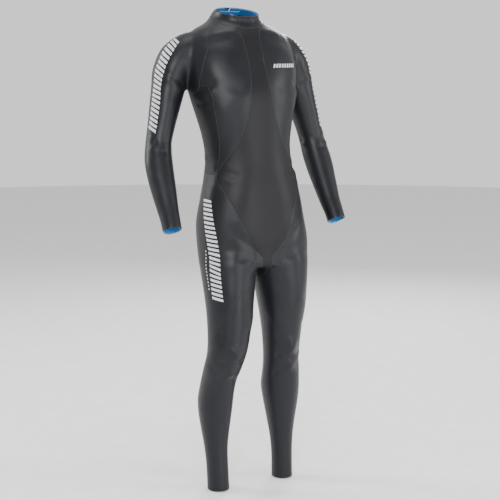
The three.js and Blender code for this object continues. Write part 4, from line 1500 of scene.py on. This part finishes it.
def add_pads():
    """Loops on the collar's right half, hooks under the tab."""
    for name, (lift, body) in PAD_PLACES.items():
        bm = new_laid_sheet(24, 18, functools.partial(pad_spot, lift))
        width, length, area = cut_size(bm)
        obj = new_object(f"brushed_{name}", bm)
        obj.data.materials.append(finishes()["pad"])
        with_modifier(obj, "SOLIDIFY", thickness=PAD_THICKNESS * MM, offset=-1)
        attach(obj, body)
        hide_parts(name)


# ---------------------------------------------------------------- the stage, in metres

CAMERA_AZIMUTH = math.radians(-28)
CAMERA_ELEVATION = math.radians(8.45)
CAMERA_DISTANCE = 4.05
CAMERA_LENS = 97.9
CAMERA_TARGET = Vector((0.031, -0.036, -0.671))
WALLS_BEFORE, WALLS_BEHIND = 0.3, 1.05      # how brightly the studio's walls shine
FLOOR_RADIUS = 9
FLOOR_GAP = 0.003

# Soft boxes: place, width, height and watts
SOFT_BOXES = {
    "key_softbox": ((-1.7, -3.1, 0.7), 1.3, 1.8, 105),
    "front_softbox": ((0.85, -3.3, -0.6), 1.1, 2.4, 60),
    "fill_softbox": ((2.6, -1.9, 0.1), 0.8, 2.0, 45),
    "back_left_softbox": ((-2.2, 2.1, 0.8), 0.9, 1.7, 60),
    "back_right_softbox": ((2.0, 2.3, 0.8), 0.9, 1.7, 60),
    "top_softbox": ((0.0, -0.3, 2.2), 1.6, 1.6, 35),
}


def add_floor():
    bm = bmesh.new()
    bmesh.ops.create_circle(bm, segments=96, radius=FLOOR_RADIUS, cap_ends=True)
    bmesh.ops.translate(bm, verts=bm.verts, vec=(0, 0, HEM_LEVEL - FLOOR_GAP))
    floor = new_object("studio_floor", bm)
    # matt studio board, nearly white
    floor.data.materials.append(speckled(
        "painted_studio_board", linear("#f2f2f2"), linear("#f8f8f8"), 60, 0.02, Roughness=0.8))


def add_softboxes():
    for name, (place, width, height, watts) in SOFT_BOXES.items():
        light = bpy.data.lights.new(name, "AREA")
        light.shape = "RECTANGLE"
        light.size = width
        light.size_y = height
        light.energy = watts
        obj = bpy.data.objects.new(name, light)
        obj.location = place
        obj.rotation_mode = "QUATERNION"
        obj.rotation_quaternion = (CAMERA_TARGET - obj.location).to_track_quat("-Z", "Y")
        bpy.context.scene.collection.objects.link(obj)


def add_studio_walls():
    """White walls all round, brighter behind the suit than before it."""
    world = bpy.data.worlds.new("white_studio")
    world.use_nodes = True
    sky = world.node_tree
    way = add_node(sky, "TexCoord", "Generated")
    behind = add_node(sky, "SeparateXYZ", "Y", {"Vector": way})
    glow = {
        "Value": behind, "From Min": -1, "From Max": 0.3, "To Min": WALLS_BEFORE, "To Max": WALLS_BEHIND}
    sky.nodes["Background"].inputs["Color"].default_value = (1, 1, 1, 1)
    sky.links.new(add_node(sky, "MapRange", "Result", glow), sky.nodes["Background"].inputs["Strength"])
    bpy.context.scene.world = world


def add_camera():
    back = Vector((
        math.sin(CAMERA_AZIMUTH) * math.cos(CAMERA_ELEVATION),
        -math.cos(CAMERA_AZIMUTH) * math.cos(CAMERA_ELEVATION), math.sin(CAMERA_ELEVATION)))
    data = bpy.data.cameras.new("studio_camera")
    data.lens = CAMERA_LENS
    data.sensor_width = 36
    camera = bpy.data.objects.new("studio_camera", data)
    camera.location = CAMERA_TARGET + back * CAMERA_DISTANCE
    camera.rotation_mode = "QUATERNION"
    camera.rotation_quaternion = (-back).to_track_quat("-Z", "Y")
    bpy.context.scene.collection.objects.link(camera)
    bpy.context.scene.camera = camera


def add_stage():
    add_floor()
    add_softboxes()
    add_studio_walls()
    add_camera()


# ---------------------------------------------------------------- pieces and stage, as operators

class WetsuitOperator(bpy.types.Operator):
    bl_options = {"REGISTER", "UNDO"}


class WETSUIT_OT_body(WetsuitOperator):
    """Adds the front, chest, side, back and seat panels and the gusset"""
    bl_idname = "wetsuit.body"
    bl_label = "Body panels"

    def execute(self, context):
        add_panels(BODY_PANELS, ride_on_suit)
        return {"FINISHED"}


class WETSUIT_OT_sleeves(WetsuitOperator):
    """Adds both sleeves, from the neck to the wrist"""
    bl_idname = "wetsuit.sleeves"
    bl_label = "Sleeves"

    def execute(self, context):
        add_panels(SLEEVES, bend_with_elbow)
        return {"FINISHED"}


class WETSUIT_OT_legs(WetsuitOperator):
    """Adds the outer and inner panels of both legs"""
    bl_idname = "wetsuit.legs"
    bl_label = "Leg panels"

    def execute(self, context):
        add_panels(LEG_PANELS, bend_with_knee)
        return {"FINISHED"}


class WETSUIT_OT_collar(WetsuitOperator):
    """Adds the three pieces of the collar"""
    bl_idname = "wetsuit.collar"
    bl_label = "Collar"

    def execute(self, context):
        add_panels(COLLAR_PIECES, ride_on_suit)
        return {"FINISHED"}


class WETSUIT_OT_zip(WetsuitOperator):
    """Adds the zip's backing flap, tapes, teeth and stops"""
    bl_idname = "wetsuit.zip"
    bl_label = "Zip"

    def execute(self, context):
        add_flap()
        for side in SIDES:
            add_tape(side)
            add_teeth(side)
        add_stops()
        return {"FINISHED"}


class WETSUIT_OT_slider(WetsuitOperator):
    """Adds the zip's slider and its pull tab"""
    bl_idname = "wetsuit.slider"
    bl_label = "Slider and pull tab"

    def execute(self, context):
        add_slider()
        add_pull()
        return {"FINISHED"}


class WETSUIT_OT_fastening(WetsuitOperator):
    """Adds the tab and the pads that close the collar over the zip"""
    bl_idname = "wetsuit.fastening"
    bl_label = "Collar fastening"

    def execute(self, context):
        add_tab()
        add_pads()
        return {"FINISHED"}


class WETSUIT_OT_prints(WetsuitOperator):
    """Adds the rows of printed bars on the sleeves, the thigh and the chest"""
    bl_idname = "wetsuit.prints"
    bl_label = "Prints"

    def execute(self, context):
        for side, points in SLEEVE_PRINT.items():
            path = path_on(functools.partial(arm_spot, side), points)
            bend_with_elbow(add_print(f"sleeve_print_{side}", path, *SLEEVE_BARS), side)
        thigh = functools.partial(leg_spot, "right")
        path = path_on(torso_spot, HIP_PRINT_START) + path_on(thigh, THIGH_PRINT)
        ride_on_suit(add_print("thigh_print_right", path, *THIGH_BARS))
        ride_on_suit(add_print("thigh_dashes_right", path_on(thigh, THIGH_DASHES), *DASH_BARS))
        ride_on_suit(add_print("chest_print_left", path_on(torso_spot, CHEST_PRINT), *CHEST_BARS))
        return {"FINISHED"}


class WETSUIT_OT_stage(WetsuitOperator):
    """Adds the floor, the soft lights and the camera"""
    bl_idname = "wetsuit.stage"
    bl_label = "Stage"

    def execute(self, context):
        add_stage()
        return {"FINISHED"}


PIECES = [
    WETSUIT_OT_body, WETSUIT_OT_sleeves, WETSUIT_OT_legs, WETSUIT_OT_collar, WETSUIT_OT_zip,
    WETSUIT_OT_slider, WETSUIT_OT_fastening, WETSUIT_OT_prints, WETSUIT_OT_stage,
]


class VIEW3D_PT_wetsuit(bpy.types.Panel):
    """Lists the pieces of the suit, and its sizes and colours"""
    bl_idname = "VIEW3D_PT_wetsuit"
    bl_label = "Wetsuit"
    bl_space_type = "VIEW_3D"
    bl_region_type = "UI"
    bl_category = "Wetsuit"

    def draw(self, context):
        for settings in (context.scene.wetsuit_sizes, context.scene.wetsuit_colours):
            for name in settings.__annotations__:
                self.layout.prop(settings, name)
        for piece in PIECES:
            self.layout.operator(piece.bl_idname)


CLASSES = [WetsuitSizes, WetsuitColours, *PIECES, VIEW3D_PT_wetsuit]


def register():
    for kind in CLASSES:
        bpy.utils.register_class(kind)
    bpy.types.Scene.wetsuit_sizes = bpy.props.PointerProperty(type=WetsuitSizes)
    bpy.types.Scene.wetsuit_colours = bpy.props.PointerProperty(type=WetsuitColours)


def unregister():
    del bpy.types.Scene.wetsuit_colours
    del bpy.types.Scene.wetsuit_sizes
    for kind in reversed(CLASSES):
        bpy.utils.unregister_class(kind)


def main():
    register()
    for piece in PIECES:
        group, name = piece.bl_idname.split(".")
        getattr(getattr(bpy.ops, group), name)()


if __name__ == "__main__":
    main()
